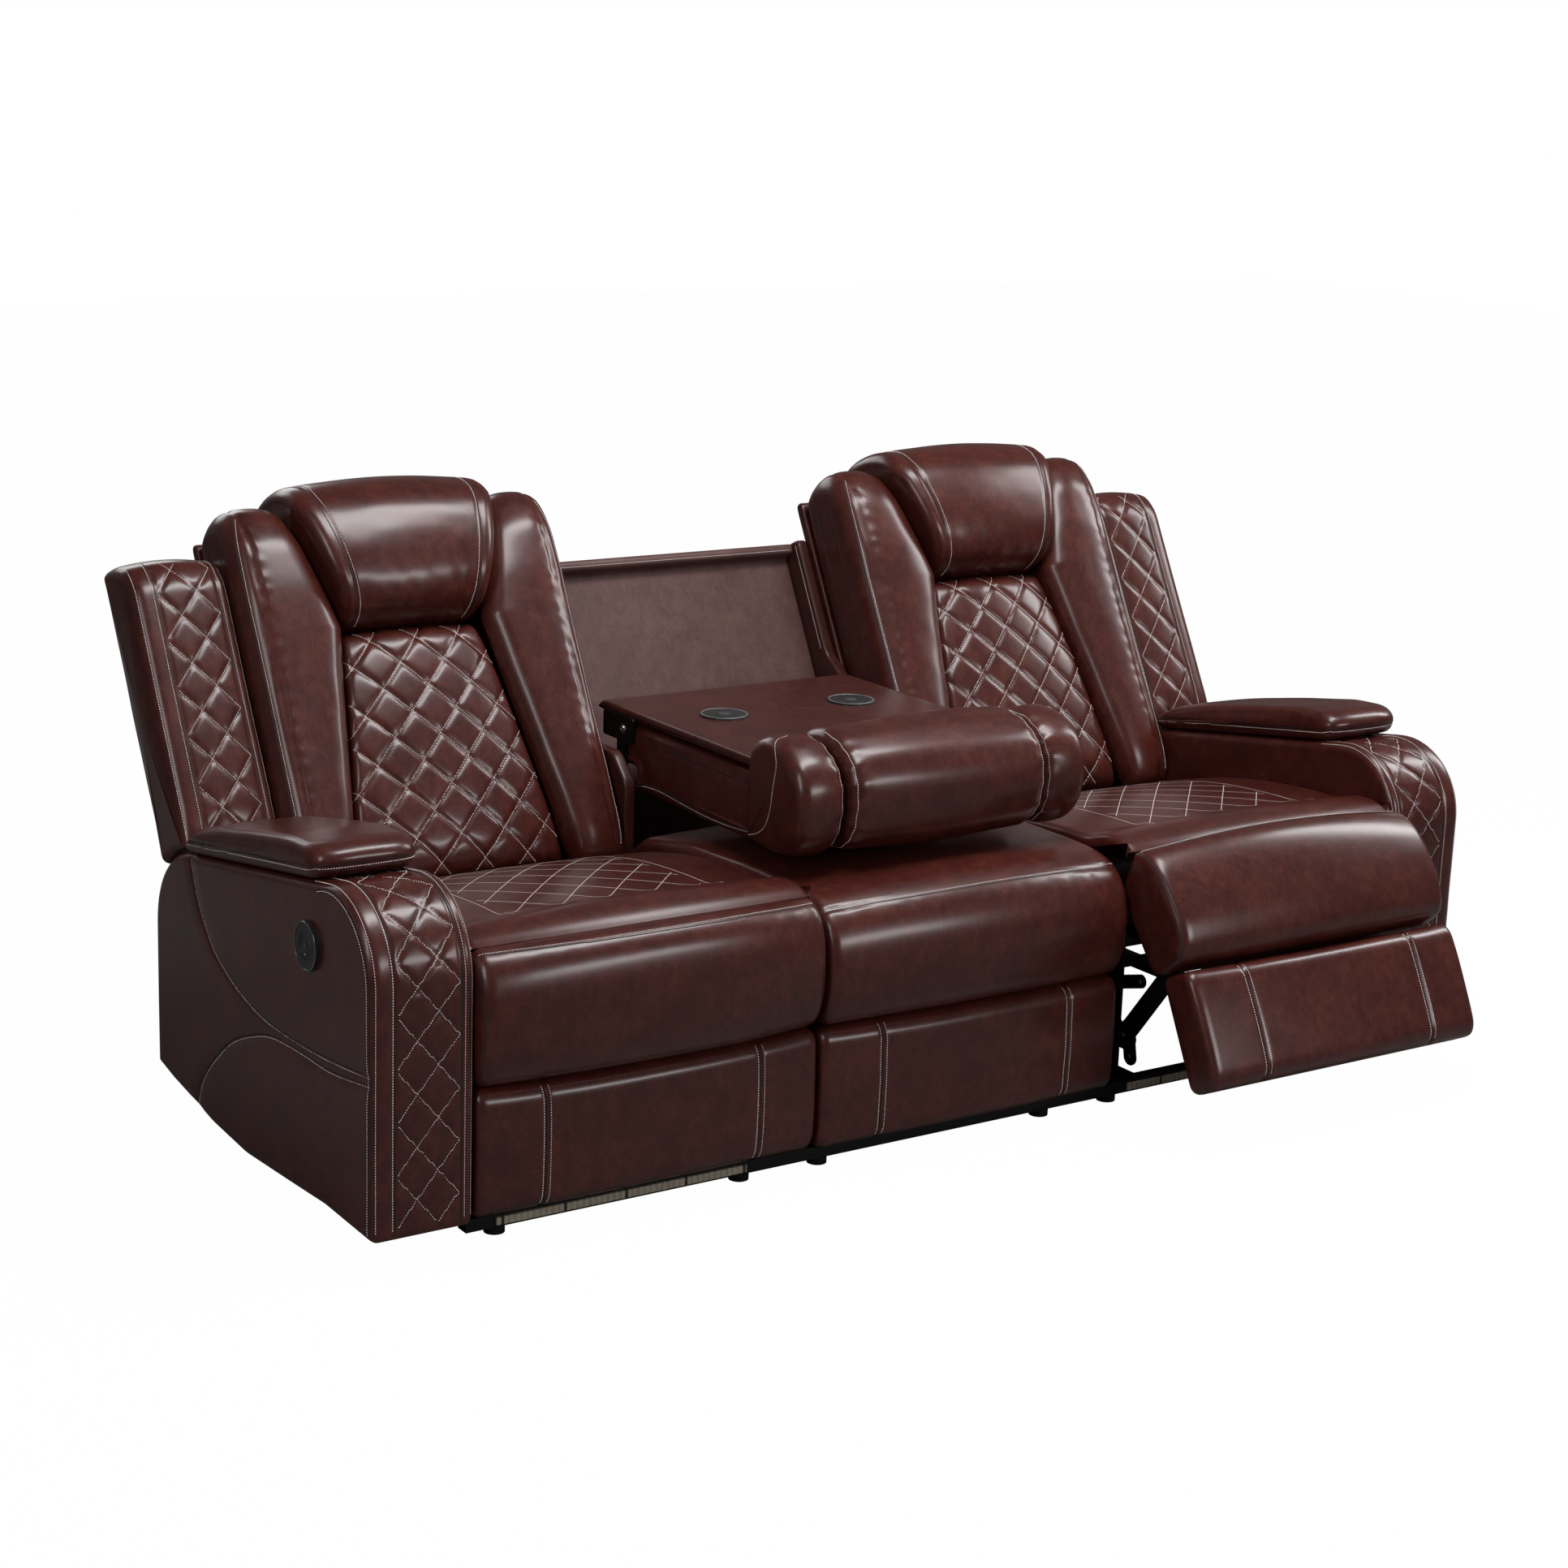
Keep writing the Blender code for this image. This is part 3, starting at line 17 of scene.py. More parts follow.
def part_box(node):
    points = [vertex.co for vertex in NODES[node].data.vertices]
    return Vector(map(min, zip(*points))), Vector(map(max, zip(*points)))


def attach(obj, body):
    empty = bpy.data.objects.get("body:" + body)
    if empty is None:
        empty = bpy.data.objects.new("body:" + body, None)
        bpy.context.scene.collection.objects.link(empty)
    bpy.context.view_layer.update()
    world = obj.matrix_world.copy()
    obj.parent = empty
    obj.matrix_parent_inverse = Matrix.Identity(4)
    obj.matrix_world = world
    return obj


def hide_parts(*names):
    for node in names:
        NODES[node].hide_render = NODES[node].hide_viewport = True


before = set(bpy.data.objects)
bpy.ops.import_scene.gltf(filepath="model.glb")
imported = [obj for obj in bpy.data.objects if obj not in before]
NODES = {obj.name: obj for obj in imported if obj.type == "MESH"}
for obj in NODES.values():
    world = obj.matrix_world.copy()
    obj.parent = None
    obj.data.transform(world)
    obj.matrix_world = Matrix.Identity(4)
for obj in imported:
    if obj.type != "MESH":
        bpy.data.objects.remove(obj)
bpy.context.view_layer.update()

# From the drawing to the world: SHIFT is added to y, and FLOOR is taken off z when a piece is seated
SHIFT = 0.3564
FLOOR = 0.011
DOWN = Matrix.Translation((0, 0, -FLOOR))

# The seats' pitch, half a cushion's width, and each side's sign
PITCH = 0.62
HALF = 0.307
SIDES = {"left": -1, "right": 1}

# Hinge lines and the lean of the backs
HINGE = Vector((0, -0.12 + SHIFT, 0.33))
LEAN = math.radians(28.4)
FOOTREST_HINGE = Vector((0, -0.738 + SHIFT, 0.466))
FLAP_HINGE = Vector((0, -0.70 + SHIFT, 0.2541))

# How far each footrest is drawn open and how far it opens, in degrees, and what follows it: the seat's glide
# when it is full out, and the share of its turn by which the flap folds
OPEN_ANGLE = {"left": 0.0, "right": 38.0}
FULL_ANGLE = 75.0
GLIDE = 0.06
FLAP_SHARE = -0.297

# Quilting: how wide and how long a diamond is, between seams of the same direction
DIAMOND = (0.083, 0.088)
ARM_DIAMOND = (0.0687, 0.0820)

# Steps along a seam: between two aims at the form, two stitches, and two pieces of a seam's painted shade
AIM_STEP = 0.004
STITCH_PITCH = 0.0042
SEAM_SHADE_PITCH = 0.006

# How far an aim looks for the form
RAY_REACH = 0.25

# Shading: pieces keep as an edge what turns by more than this, in degrees
SOFT_ANGLE = 60
HARD_ANGLE = 40
STITCH_ANGLE = 35

# Farther than any place of the sofa
FAR = 9.0


# Materials

class Value:
    """A number that varies over a surface; plain arithmetic adds the Math nodes."""

    def __init__(self, graph, socket):
        self.graph, self.socket = graph, socket

    def math(self, operation, first, second):
        return self.graph.node("ShaderNodeMath", {0: first, 1: second}, operation=operation)

    def __add__(self, other):
        return self.math("ADD", self, other)

    def __sub__(self, other):
        return self.math("SUBTRACT", self, other)

    def __rsub__(self, other):
        return self.math("SUBTRACT", other, self)

    def __mul__(self, other):
        return self.math("MULTIPLY", self, other)

    def band(self, low, high):
        """0 below low, 1 above high, eased between."""
        return self.graph.node("ShaderNodeMapRange", {"Value": self, "From Min": low, "From Max": high},
                               interpolation_type="SMOOTHSTEP")

    __radd__, __rmul__ = __add__, __mul__


class Graph:
    """The nodes of one material."""

    def __init__(self, name, roughness=0.5, metallic=0.0):
        self.material = bpy.data.materials.new(name)
        self.material.use_nodes = True
        self.tree = self.material.node_tree
        self.shader = self.tree.nodes["Principled BSDF"]
        self.fix("Roughness", roughness)
        self.fix("Metallic", metallic)

    def fix(self, socket, value):
        self.shader.inputs[socket].default_value = value

    def feed(self, socket, value):
        self.tree.links.new(value.socket, self.shader.inputs[socket])

    def node(self, kind, inputs=None, output=0, **settings):
        node = self.tree.nodes.new(kind)
        for key, value in settings.items():
            if key == "stops":
                ramp = node.color_ramp
                while len(ramp.elements) < len(value):
                    ramp.elements.new(0.5)
                for element, (place, colour) in zip(ramp.elements, value):
                    element.position, element.color = place, (*colour, 1.0)
            else:
                setattr(node, key, value)
        for key, value in (inputs or {}).items():
            if isinstance(value, Value):
                self.tree.links.new(value.socket, node.inputs[key])
            else:
                node.inputs[key].default_value = value
        return Value(self, node.outputs[output])

    def colour(self, share, stops):
        """The base colour, read from stops of (share, colour)."""
        self.feed("Base Color", self.node("ShaderNodeValToRGB", {"Fac": share}, stops=stops))

    def place(self, scale=(1, 1, 1)):
        coords = self.node("ShaderNodeTexCoord", output="Object")
        return self.node("ShaderNodeMapping", {"Vector": coords, "Scale": scale})

    def noise(self, where, scale, detail=3.0, roughness=0.55, distortion=0.0):
        return self.node("ShaderNodeTexNoise", {"Vector": where, "Scale": scale, "Detail": detail,
                                                "Roughness": roughness, "Distortion": distortion})

    def bump(self, height, strength, distance, under=None):
        inputs = {"Height": height, "Strength": strength, "Distance": distance}
        if under:
            inputs["Normal"] = under
        return self.node("ShaderNodeBump", inputs)


def leather_material(name, stops, roughness, coat, crease):
    """Waxed leather: fine cloudy mottling, pores, small creases and a glossy top coat."""
    graph = Graph(name)
    where = graph.place()
    clouds = graph.noise(where, 13.0, 6.0, 0.66, 0.6)
    streaks = graph.noise(graph.place((1.0, 1.0, 0.6)), 60.0, 5.0, 0.62, 0.5)
    specks = graph.noise(where, 230.0, 2.0)
    shade = (clouds * 0.42 + streaks * 0.36 + specks * 0.22).band(0.30, 0.70)
    graph.colour(shade, stops)
    graph.feed("Roughness", streaks * 0.14 + specks * 0.06 + (roughness - 0.1))
    pores = graph.node("ShaderNodeTexVoronoi", {"Vector": where, "Scale": 420.0}, feature="F1")
    creases = graph.noise(graph.place((1.0, 1.0, 0.6)), 95.0, 4.0, 0.62, 0.9)
    swells = graph.noise(where, 16.0, 2.0)
    normal = graph.bump(swells, 0.12, 0.004)
    normal = graph.bump(creases, crease, 0.0008, normal)
    normal = graph.bump(pores, 0.07, 0.0004, normal)
    graph.feed("Normal", normal)
    graph.fix("Coat Weight", coat)
    graph.fix("Coat Roughness", 0.22)
    graph.fix("Specular IOR Level", 0.26)
    return graph.material


def thread_material():
    """Twisted pale thread."""
    graph = Graph("pale_thread", 0.6)
    twist = graph.node("ShaderNodeTexWave", {"Vector": graph.place(), "Scale": 380.0, "Distortion": 1.0})
    graph.colour(twist, ((0.0, (0.62, 0.55, 0.53)), (1.0, (0.90, 0.85, 0.82))))
    graph.feed("Normal", graph.bump(twist, 0.5, 0.0003))
    return graph.material


def steel_material(name, colour, roughness, metallic):
    """Powder-coated or plated steel with fine orange peel and light scuffs."""
    graph = Graph(name, roughness, metallic)
    where = graph.place()
    peel = graph.noise(where, 600.0, 2.0)
    scuffs = graph.noise(graph.place((1.0, 6.0, 6.0)), 40.0, 5.0, 0.7)
    worn = scuffs.band(0.60, 0.78)
    light = tuple(min(1.0, channel * 2.2 + 0.02) for channel in colour)
    graph.colour(worn, ((0.0, colour), (1.0, light)))
    graph.feed("Roughness", worn * -0.12 + scuffs * 0.12 + roughness)
    graph.feed("Normal", graph.bump(peel, 0.25, 0.0003))
    return graph.material


def plastic_material(name, colour, roughness):
    """Moulded plastic with a fine spark-eroded grain."""
    graph = Graph(name, roughness)
    where = graph.place()
    grain = graph.noise(where, 900.0, 2.0)
    haze = graph.noise(where, 30.0, 3.0)
    light = tuple(channel * 1.8 + 0.006 for channel in colour)
    graph.colour(haze, ((0.3, colour), (0.8, light)))
    graph.feed("Roughness", haze * 0.12 + (roughness - 0.06))
    graph.feed("Normal", graph.bump(grain, 0.3, 0.0003))
    return graph.material


def segment_material():
    """A light strip: long pale lenses, each with a row of dim cells, with dark joints between them."""
    lenses_a_metre, cells_a_lens = 9.2, 10
    always_positive = 100.0
    graph = Graph("light_lens", 0.34)
    where = graph.place()
    along = graph.node("ShaderNodeSeparateXYZ", {"Vector": where}, output=0)
    share = graph.node("ShaderNodeMath", {0: along * lenses_a_metre + always_positive}, operation="FRACT")
    cells_a_metre = lenses_a_metre * cells_a_lens
    cell = graph.node("ShaderNodeMath", {0: along * cells_a_metre + always_positive}, operation="FRACT")
    lens = share.band(0.015, 0.035) * (1.0 - share.band(0.965, 0.985))
    cells = cell.band(0.10, 0.30) * (1.0 - cell.band(0.60, 0.85))
    haze = graph.noise(where, 160.0, 3.0)
    shade = lens * (haze * 0.5 + cells * 0.25 + 0.42)
    graph.colour(shade, ((0.0, (0.016, 0.014, 0.012)), (1.0, (0.36, 0.31, 0.23))))
    graph.feed("Normal", graph.bump(lens, 0.4, 0.0008))
    return graph.material


# Dark, middle and light shades of each leather
OXBLOOD = ((0.0, (0.034, 0.0060, 0.0045)), (0.5, (0.054, 0.0100, 0.0070)), (1.0, (0.084, 0.0172, 0.0108)))
# The board's shades are its leather's own colour, lightened and greyed by a painted reflection of a bright
# surrounding
BOARD_WITH_PAINTED_REFLECTION = ((0.0, (0.066, 0.0300, 0.0270)), (0.5, (0.088, 0.0420, 0.0380)), (1.0, (0.112, 0.0560, 0.0500)))
TRAY = ((0.0, (0.034, 0.0098, 0.0078)), (0.5, (0.050, 0.0136, 0.0106)), (1.0, (0.072, 0.0200, 0.0150)))
LEATHER = leather_material("oxblood_leather", OXBLOOD, roughness=0.34, coat=0.42, crease=0.16)
# Board leather: lighter and greyer than its own colour, a painted reflection
BOARD_LEATHER_PAINTED_REFLECTION = leather_material("board_leather", BOARD_WITH_PAINTED_REFLECTION, roughness=0.50, coat=0.10, crease=0.12)
TRAY_LEATHER = leather_material("tray_leather", TRAY, roughness=0.38, coat=0.20, crease=0.10)
THREAD = thread_material()
STEEL = steel_material("black_steel", (0.011, 0.011, 0.012), roughness=0.38, metallic=0.7)
BRIGHT = steel_material("bright_bolt", (0.62, 0.62, 0.60), roughness=0.22, metallic=1.0)
PLASTIC = plastic_material("black_plastic", (0.012, 0.012, 0.013), roughness=0.42)
DARK_RUBBER = plastic_material("black_rubber", (0.010, 0.010, 0.010), roughness=0.6)
LENS = segment_material()
PORT = plastic_material("pale_port", (0.55, 0.55, 0.55), roughness=0.35)
GLOSS = plastic_material("gloss_rim", (0.05, 0.05, 0.05), roughness=0.14)
GREY = plastic_material("grey_mark", (0.10, 0.10, 0.10), roughness=0.4)
# Near-black strips laid along the seams: painted shade
SEAM_SHADE_COLOUR = plastic_material("seam_line", (0.006, 0.003, 0.003), roughness=0.7)


# Places

def drawn(outline):
    """A side view carried from the drawing's y to the world's."""
    return [(point[0] + SHIFT, *point[1:]) for point in outline]


def lean(s, t):
    """A point of the leaning back, s up from the hinge and t forwards, in the side view."""
    y = HINGE.y + s * math.sin(LEAN) - t * math.cos(LEAN)
    z = HINGE.z + s * math.cos(LEAN) + t * math.sin(LEAN)
    return y, z


def leaned(outline):
    return [(*lean(point[0], point[1]), *point[2:]) for point in outline]


def back_coords(places):
    """s and t of places, which lean turns into y and z."""
    y, z = places[:, 1] - HINGE.y, places[:, 2] - HINGE.z
    return y * math.sin(LEAN) + z * math.cos(LEAN), z * math.sin(LEAN) - y * math.cos(LEAN)


def turn(pivot, degrees):
    """A turn about a hinge line, which opens a footrest."""
    rotation = Matrix.Rotation(-math.radians(degrees), 4, "X")
    return Matrix.Translation(pivot) @ rotation @ Matrix.Translation(-pivot)


def rest_place(part, side):
    """What carries a piece from the shut seat to its own seat at rest."""
    opened = OPEN_ANGLE[side]
    place = Matrix.Translation((SIDES[side] * PITCH, 0, 0))
    if part in ("seat", "footrest", "flap"):
        place = place @ Matrix.Translation((0, -GLIDE * opened / FULL_ANGLE, 0))
    if part in ("footrest", "flap"):
        place = place @ turn(FOOTREST_HINGE, opened)
    if part == "flap":
        place = place @ turn(FLAP_HINGE, FLAP_SHARE * opened)
    return place


# Meshes

def object_of(name, mesh, *materials):
    data = bpy.data.meshes.new(name)
    mesh.to_mesh(data)
    mesh.free()
    for material in materials:
        data.materials.append(material)
    thing = bpy.data.objects.new(name, data)
    bpy.context.scene.collection.objects.link(thing)
    return thing


def seat_on(thing, body, place, smooth, replaces=()):
    """Finishes a piece: puts its place in its mesh, shades it and gives it to its body."""
    thing.data.transform(DOWN if place is None else DOWN @ place)
    thing.data.shade_smooth()
    thing.data.set_sharp_from_angle(angle=math.radians(smooth))
    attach(thing, body)
    if replaces:
        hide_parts(*replaces)


def seat_leather(thing, body, node, place=None, smooth=SOFT_ANGLE):
    """Seats a covered piece in place of its node."""
    seat_on(thing, body, place, smooth, [node])


def seat_steel(thing, body, place=None):
    seat_on(thing, body, place, HARD_ANGLE)


def seat_plastic(thing, body, smooth=SOFT_ANGLE):
    seat_on(thing, body, None, smooth)


def evenly(outline, step, ease):
    """A closed outline cut into even steps, its corners eased but for those with softness below 0."""
    points = np.array([list(point) + [1.0] * (3 - len(point)) for point in outline], float)
    hard = points[points[:, 2] < 0, :2]
    points[:, 2] = np.maximum(points[:, 2], 0)
    ring = np.vstack([points, points[:1]])
    lengths = np.hypot(*np.diff(ring[:, :2], axis=0).T)
    along = np.concatenate([[0], np.cumsum(lengths)])
    count = max(12, int(round(along[-1] / step)))
    wanted = np.linspace(0, along[-1], count, endpoint=False)
    raw = np.stack([np.interp(wanted, along, ring[:, column]) for column in range(3)], axis=1)
    even = raw
    reach = max(1, int(round(ease / step)))
    for _ in range(3):
        total = sum(np.roll(even, offset, axis=0) for offset in range(-reach, reach + 1))
        even = total / (2 * reach + 1)
    for corner in hard:
        gap = np.linalg.norm(raw[:, :2] - corner, axis=1)
        keep = np.exp(-(gap / (2 * ease)) ** 2)[:, None]
        even = even * (1 - keep) + raw * keep
        even[gap.argmin(), :2] = corner
    return even


def inside_of(points, ring):
    """Which points of the side view lie inside a closed outline."""
    inside = np.zeros(len(points), bool)
    for (y1, z1), (y2, z2) in zip(ring, np.roll(ring, -1, axis=0)):
        crosses = (z1 > points[:, 1]) != (z2 > points[:, 1])
        with np.errstate(divide="ignore", invalid="ignore"):
            at = y1 + (points[:, 1] - z1) * (y2 - y1) / (z2 - z1)
        inside ^= crosses & (points[:, 0] < at)
    return inside


def outwards(ring):
    """The outward direction at each point of a closed outline."""
    run = np.roll(ring[:, :2], -1, axis=0) - np.roll(ring[:, :2], 1, axis=0)
    normal = np.stack([run[:, 1], -run[:, 0]], axis=1)
    return normal / np.maximum(np.linalg.norm(normal, axis=1, keepdims=True), 1e-9)


def sewn_rings(outline, half_width, step=0.006, ease=0.010, crown=0.0, edge=0.012, dome=0.004, across=0.012,
               cap=True, power=2.0):
    """Rings of a sewn form around the seat's middle: eased edges, a crown and domed ends."""
    ring = evenly(outline, step, ease)
    normal = outwards(ring)
    if callable(half_width):
        low, high = np.array([half_width(y, z) for y, z in ring[:, :2]]).T
    else:
        low, high = (np.full(len(ring), value) for value in half_width)
    width = float(np.mean(high - low))
    turns = [math.radians(angle) for angle in range(0, 91, 18)]
    ends = [(edge * (1 - math.cos(a)) * 2 / width, edge * (1 - math.sin(a))) for a in turns]
    inner = max(3, int(round((width - 2 * edge) / across)))
    first = ends[-1][0]
    shares = [(-1 + share, inset) for share, inset in ends]
    shares += [(-1 + first + (2 - 2 * first) * k / inner, 0.0) for k in range(1, inner)]
    shares += [(1 - share, inset) for share, inset in reversed(ends)]
    rings = []
    for share, inset in shares:
        out = crown * ring[:, 2] * (1 - abs(share) ** power) - inset
        flat = ring[:, :2] + normal * out[:, None]
        x = low + (high - low) * (share + 1) / 2
        rings.append(np.column_stack([x, flat]))
    if cap:
        for end, order in ((rings[0], -1), (rings[-1], 1)):
            middle = end.mean(axis=0)
            for keep in (0.93, 0.8, 0.6, 0.35, 0.12, 0.0):
                inward = middle + (end - middle) * keep
                inward[:, 0] = end[:, 0] * keep + middle[0] * (1 - keep) + order * dome * (1 - keep ** 2)
                rings = rings + [inward] if order > 0 else [inward] + rings
    return np.array(rings)


def wrapped(name, rings, material, flat=None):
    """A sheet wrapped into a form: one row for each ring, joined where it meets itself.

    flat, for a form with flat ends, is the step of the squares in them.
    """
    rows, around = rings.shape[:2]
    mesh = bmesh.new()
    bmesh.ops.create_grid(mesh, x_segments=around, y_segments=rows - 1, size=0.5)
    for vert in mesh.verts:
        i = int(round((vert.co.x + 0.5) * around))
        j = int(round((vert.co.y + 0.5) * (rows - 1)))
        vert.co = rings[j, i % around]
    if flat:
        for ring in (rings[0], rings[-1]):
            end = flat_end(ring, flat)
            mesh.from_mesh(end)
            bpy.data.meshes.remove(end)
    bmesh.ops.remove_doubles(mesh, verts=mesh.verts, dist=0.00002)
    edges = [item for item in mesh.edges if item.is_boundary]
    if edges:
        bmesh.ops.holes_fill(mesh, edges=edges)
    bmesh.ops.recalc_face_normals(mesh, faces=mesh.faces)
    return object_of(name, mesh, material)


def flat_end(ring, step):
    """A flat end for a form: even squares, and triangles between them and its rim."""
    mesh = bmesh.new()
    rim = [mesh.verts.new(point) for point in ring]
    for row, vert in enumerate(rim):
        mesh.edges.new((rim[row - 1], vert))
    side = ring[:, 1:]
    low, high = side.min(axis=0), side.max(axis=0)
    ys, zs = np.arange(low[0], high[0], step), np.arange(low[1], high[1], step)
    grid = np.array([(y, z) for y in ys for z in zs])
    nearest = np.full(len(grid), FAR)
    for point in side:
        nearest = np.minimum(nearest, np.hypot(*(grid - point).T))
    good = (inside_of(grid, side) & (nearest > step * 0.75)).reshape(len(ys), len(zs))
    verts, x = {}, float(ring[:, 0].mean())
    for i in range(len(ys) - 1):
        for j in range(len(zs) - 1):
            corners = [(i, j), (i + 1, j), (i + 1, j + 1), (i, j + 1)]
            if not all(good[corner] for corner in corners):
                continue
            for corner in corners:
                if corner not in verts:
                    verts[corner] = mesh.verts.new((x, ys[corner[0]], zs[corner[1]]))
            mesh.faces.new([verts[corner] for corner in corners])
    edges = [edge for edge in mesh.edges if edge.is_boundary or edge.is_wire]
    bmesh.ops.triangle_fill(mesh, use_beauty=True, edges=edges)
    data = bpy.data.meshes.new("end")
    mesh.to_mesh(data)
    mesh.free()
    return data


def points_of(thing):
    count = len(thing.data.vertices)
    places, normals = np.empty(count * 3), np.empty(count * 3)
    thing.data.vertices.foreach_get("co", places)
    thing.data.vertices.foreach_get("normal", normals)
    return places.reshape(-1, 3), normals.reshape(-1, 3)


def gap_to(places, line):
    """How far each place is from the nearest point of a line."""
    nearest = np.full(len(places), FAR)
    for point in line:
        nearest = np.minimum(nearest, np.linalg.norm(places - point, axis=1))
    return nearest


def press(thing, depth):
    """Moves each point of a form out along its normal by what depth gives there."""
    places, normals = points_of(thing)
    moved = places + normals * depth(places, normals)[:, None]
    thing.data.vertices.foreach_set("co", moved.ravel())
    thing.data.update()
    return thing


def ramp(value, low, high):
    """0 below low, 1 above high, eased between."""
    share = np.clip((value - low) / (high - low), 0, 1)
    return share * share * (3 - 2 * share)


def groove(distance, width):
    """1 on a line, fading within a width of it."""
    return np.exp(-(distance / width) ** 2)


def waves(places, size, seed, octaves=3):
    """Smooth unevenness between about -1 and 1, the same on every run."""
    rng = np.random.default_rng(seed)
    total = np.zeros(len(places))
    for octave in range(octaves):
        for _ in range(5):
            direction = rng.normal(size=3)
            direction *= 2 * math.pi / (size * 0.6 ** octave) / np.linalg.norm(direction)
            total += 0.7 ** octave * np.sin(places @ direction + rng.uniform(0, 2 * math.pi)) / 5
    return total


def ripples(along, size, places, wander, seed, amount):
    """Even folds across a line, their phase wandering from place to place."""
    return np.sin(along * 2 * math.pi / size + amount * waves(places, wander, seed))


def quilt_height(u, v, inside, depth, size=DIAMOND):
    """Sunk along the diagonal seams, nearly flat between them."""
    across, along = size
    full = 1.0
    for sign in (1, -1):
        line = u / across + sign * v / along
        share = 2 * np.abs(line - np.round(line))
        full = full * (1 - 0.75 * (1 - share) ** 11 - 0.25 * (1 - share) ** 3)
    return (full - 0.95) * depth * inside


def smooth_run(points):
    """A smooth line of about 120 steps through a few points."""
    points = np.array(points, float)
    padded = np.vstack([2 * points[0] - points[1], points, 2 * points[-1] - points[-2]])
    line = []
    for k in range(1, len(padded) - 2):
        a, b, c, d = padded[k - 1:k + 3]
        for share in np.linspace(0, 1, 120 // (len(points) - 1), endpoint=False):
            line.append(0.5 * (2 * b + (c - a) * share + (2 * a - 5 * b + 4 * c - d) * share ** 2
                               + (3 * b - a - 3 * c + d) * share ** 3))
    line.append(points[-1])
    return np.array(line)


# Stitching

class Stitching:
    """Rows of small stitches laid on a finished form, gathered into one piece.

    gap is the share of its pitch that a stitch leaves free at each end. An aim is a ray, as its origin and
    its direction, and the stitches follow where the rays strike the form.
    """

    def __init__(self, name, thing, material=THREAD, pitch=STITCH_PITCH, width=0.0013, height=0.0010,
                 gap=0.19):
        self.name, self.material, self.pitch = name, material, pitch
        self.width, self.height, self.gap = width, height, gap
        self.rows = []
        self.tree = BVHTree.FromObject(thing, bpy.context.evaluated_depsgraph_get())

    def hit(self, origin, direction):
        place, normal, _, _ = self.tree.ray_cast(Vector(origin), Vector(direction).normalized(), RAY_REACH)
        return None if place is None else (np.array(place), np.array(normal))

    def sew(self, aims):
        """One seam, broken where an aim is None or misses."""
        run = []
        for aim in aims:
            found = None if aim is None else self.hit(*aim)
            if found is None:
                self.lay(run)
                run = []
            else:
                run.append(found)
        self.lay(run)

    def trace(self, points):
        """Stitches along the form's own places nearest to a line of points."""
        found = [self.tree.find_nearest(Vector(point))[:2] for point in points]
        self.lay([(np.array(place), np.array(normal)) for place, normal in found])

    def quilt(self, aim, inside, span_u, span_v, size=DIAMOND):
        """The diagonal seams of a quilted field, with aim(u, v) at the places that are inside(u, v)."""
        across, along = size
        reach = int(max(map(abs, span_u)) / across + max(map(abs, span_v)) / along) + 2
        for sign in (1, -1):
            for line in range(-reach, reach + 1):
                row = []
                for u in np.arange(span_u[0], span_u[1] + AIM_STEP, AIM_STEP * 0.7):
                    v = (line - u / across) * along * sign
                    shown = span_v[0] <= v <= span_v[1] and inside(u, v)
                    row.append(aim(u, v) if shown else None)
                self.sew(row)

    def lay(self, run):
        if len(run) < 3:
            return
        places = np.array([item[0] for item in run])
        normals = np.array([item[1] for item in run])
        lengths = np.linalg.norm(np.diff(places, axis=0), axis=1)
        along = np.concatenate([[0], np.cumsum(lengths)])
        count = int(along[-1] / self.pitch)
        if count < 2:
            return
        marks = np.linspace(0, along[-1], count + 1)
        for start, end in zip(marks[:-1], marks[1:]):
            near, far = start + (end - start) * self.gap, end - (end - start) * self.gap
            ends = [np.array([np.interp(mark, along, places[:, axis]) for axis in range(3)])
                    for mark in (near, far)]
            up = np.array([np.interp((near + far) / 2, along, normals[:, axis]) for axis in range(3)])
            self.rows.append((ends[0], ends[1], up))

    def one(self):
        """A single stitch, one unit long, wide and high, narrower at its top."""
        mesh = bmesh.new()
        bmesh.ops.create_cube(mesh, size=1.0)
        for vert in mesh.verts:
            if vert.co.z > 0:
                vert.co.x *= 0.78
                vert.co.y *= 0.55
        bmesh.ops.triangulate(mesh, faces=mesh.faces)
        return object_of(self.name + "_one", mesh, self.material)

    def finish(self, body, place=None):
        """Puts a copy of the single stitch at each row's place, and seats them all as one piece."""
        if not self.rows:
            return
        one = self.one()
        base, _ = points_of(one)
        faces = np.array([face.vertices[:] for face in one.data.polygons])
        bpy.data.objects.remove(one, do_unlink=True)
        starts, ends, ups = (np.array([row[k] for row in self.rows]) for k in range(3))
        run = ends - starts
        length = np.linalg.norm(run, axis=1, keepdims=True)
        run = run / length
        side = np.cross(ups, run)
        side /= np.maximum(np.linalg.norm(side, axis=1, keepdims=True), 1e-9)
        up = np.cross(run, side)
        middle = (starts + ends) / 2 + up * self.height * 0.25
        along = base[None, :, :1] * (run * length)[:, None]
        across = base[None, :, 1:2] * side[:, None] * self.width
        places = middle[:, None] + along + across + base[None, :, 2:] * up[:, None] * self.height
        offsets = np.arange(len(starts))[:, None, None] * len(base)
        data = bpy.data.meshes.new(self.name)
        data.from_pydata(places.reshape(-1, 3).tolist(), [], (faces[None] + offsets).reshape(-1, 3).tolist())
        data.materials.append(self.material)
        thing = bpy.data.objects.new(self.name, data)
        bpy.context.scene.collection.objects.link(thing)
        seat_on(thing, body, place, STITCH_ANGLE)


def lay_seams(threads, seams, body, place=None):
    """Sews several seams and finishes them as one piece."""
    for seam in seams:
        threads.sew(seam)
    threads.finish(body, place)


def seam_line(name, thing):
    """Painted shade along a seam: a near-black strip, laid as an unbroken run."""
    return Stitching(name, thing, SEAM_SHADE_COLOUR, SEAM_SHADE_PITCH, width=0.0026, height=0.0006, gap=-0.03)


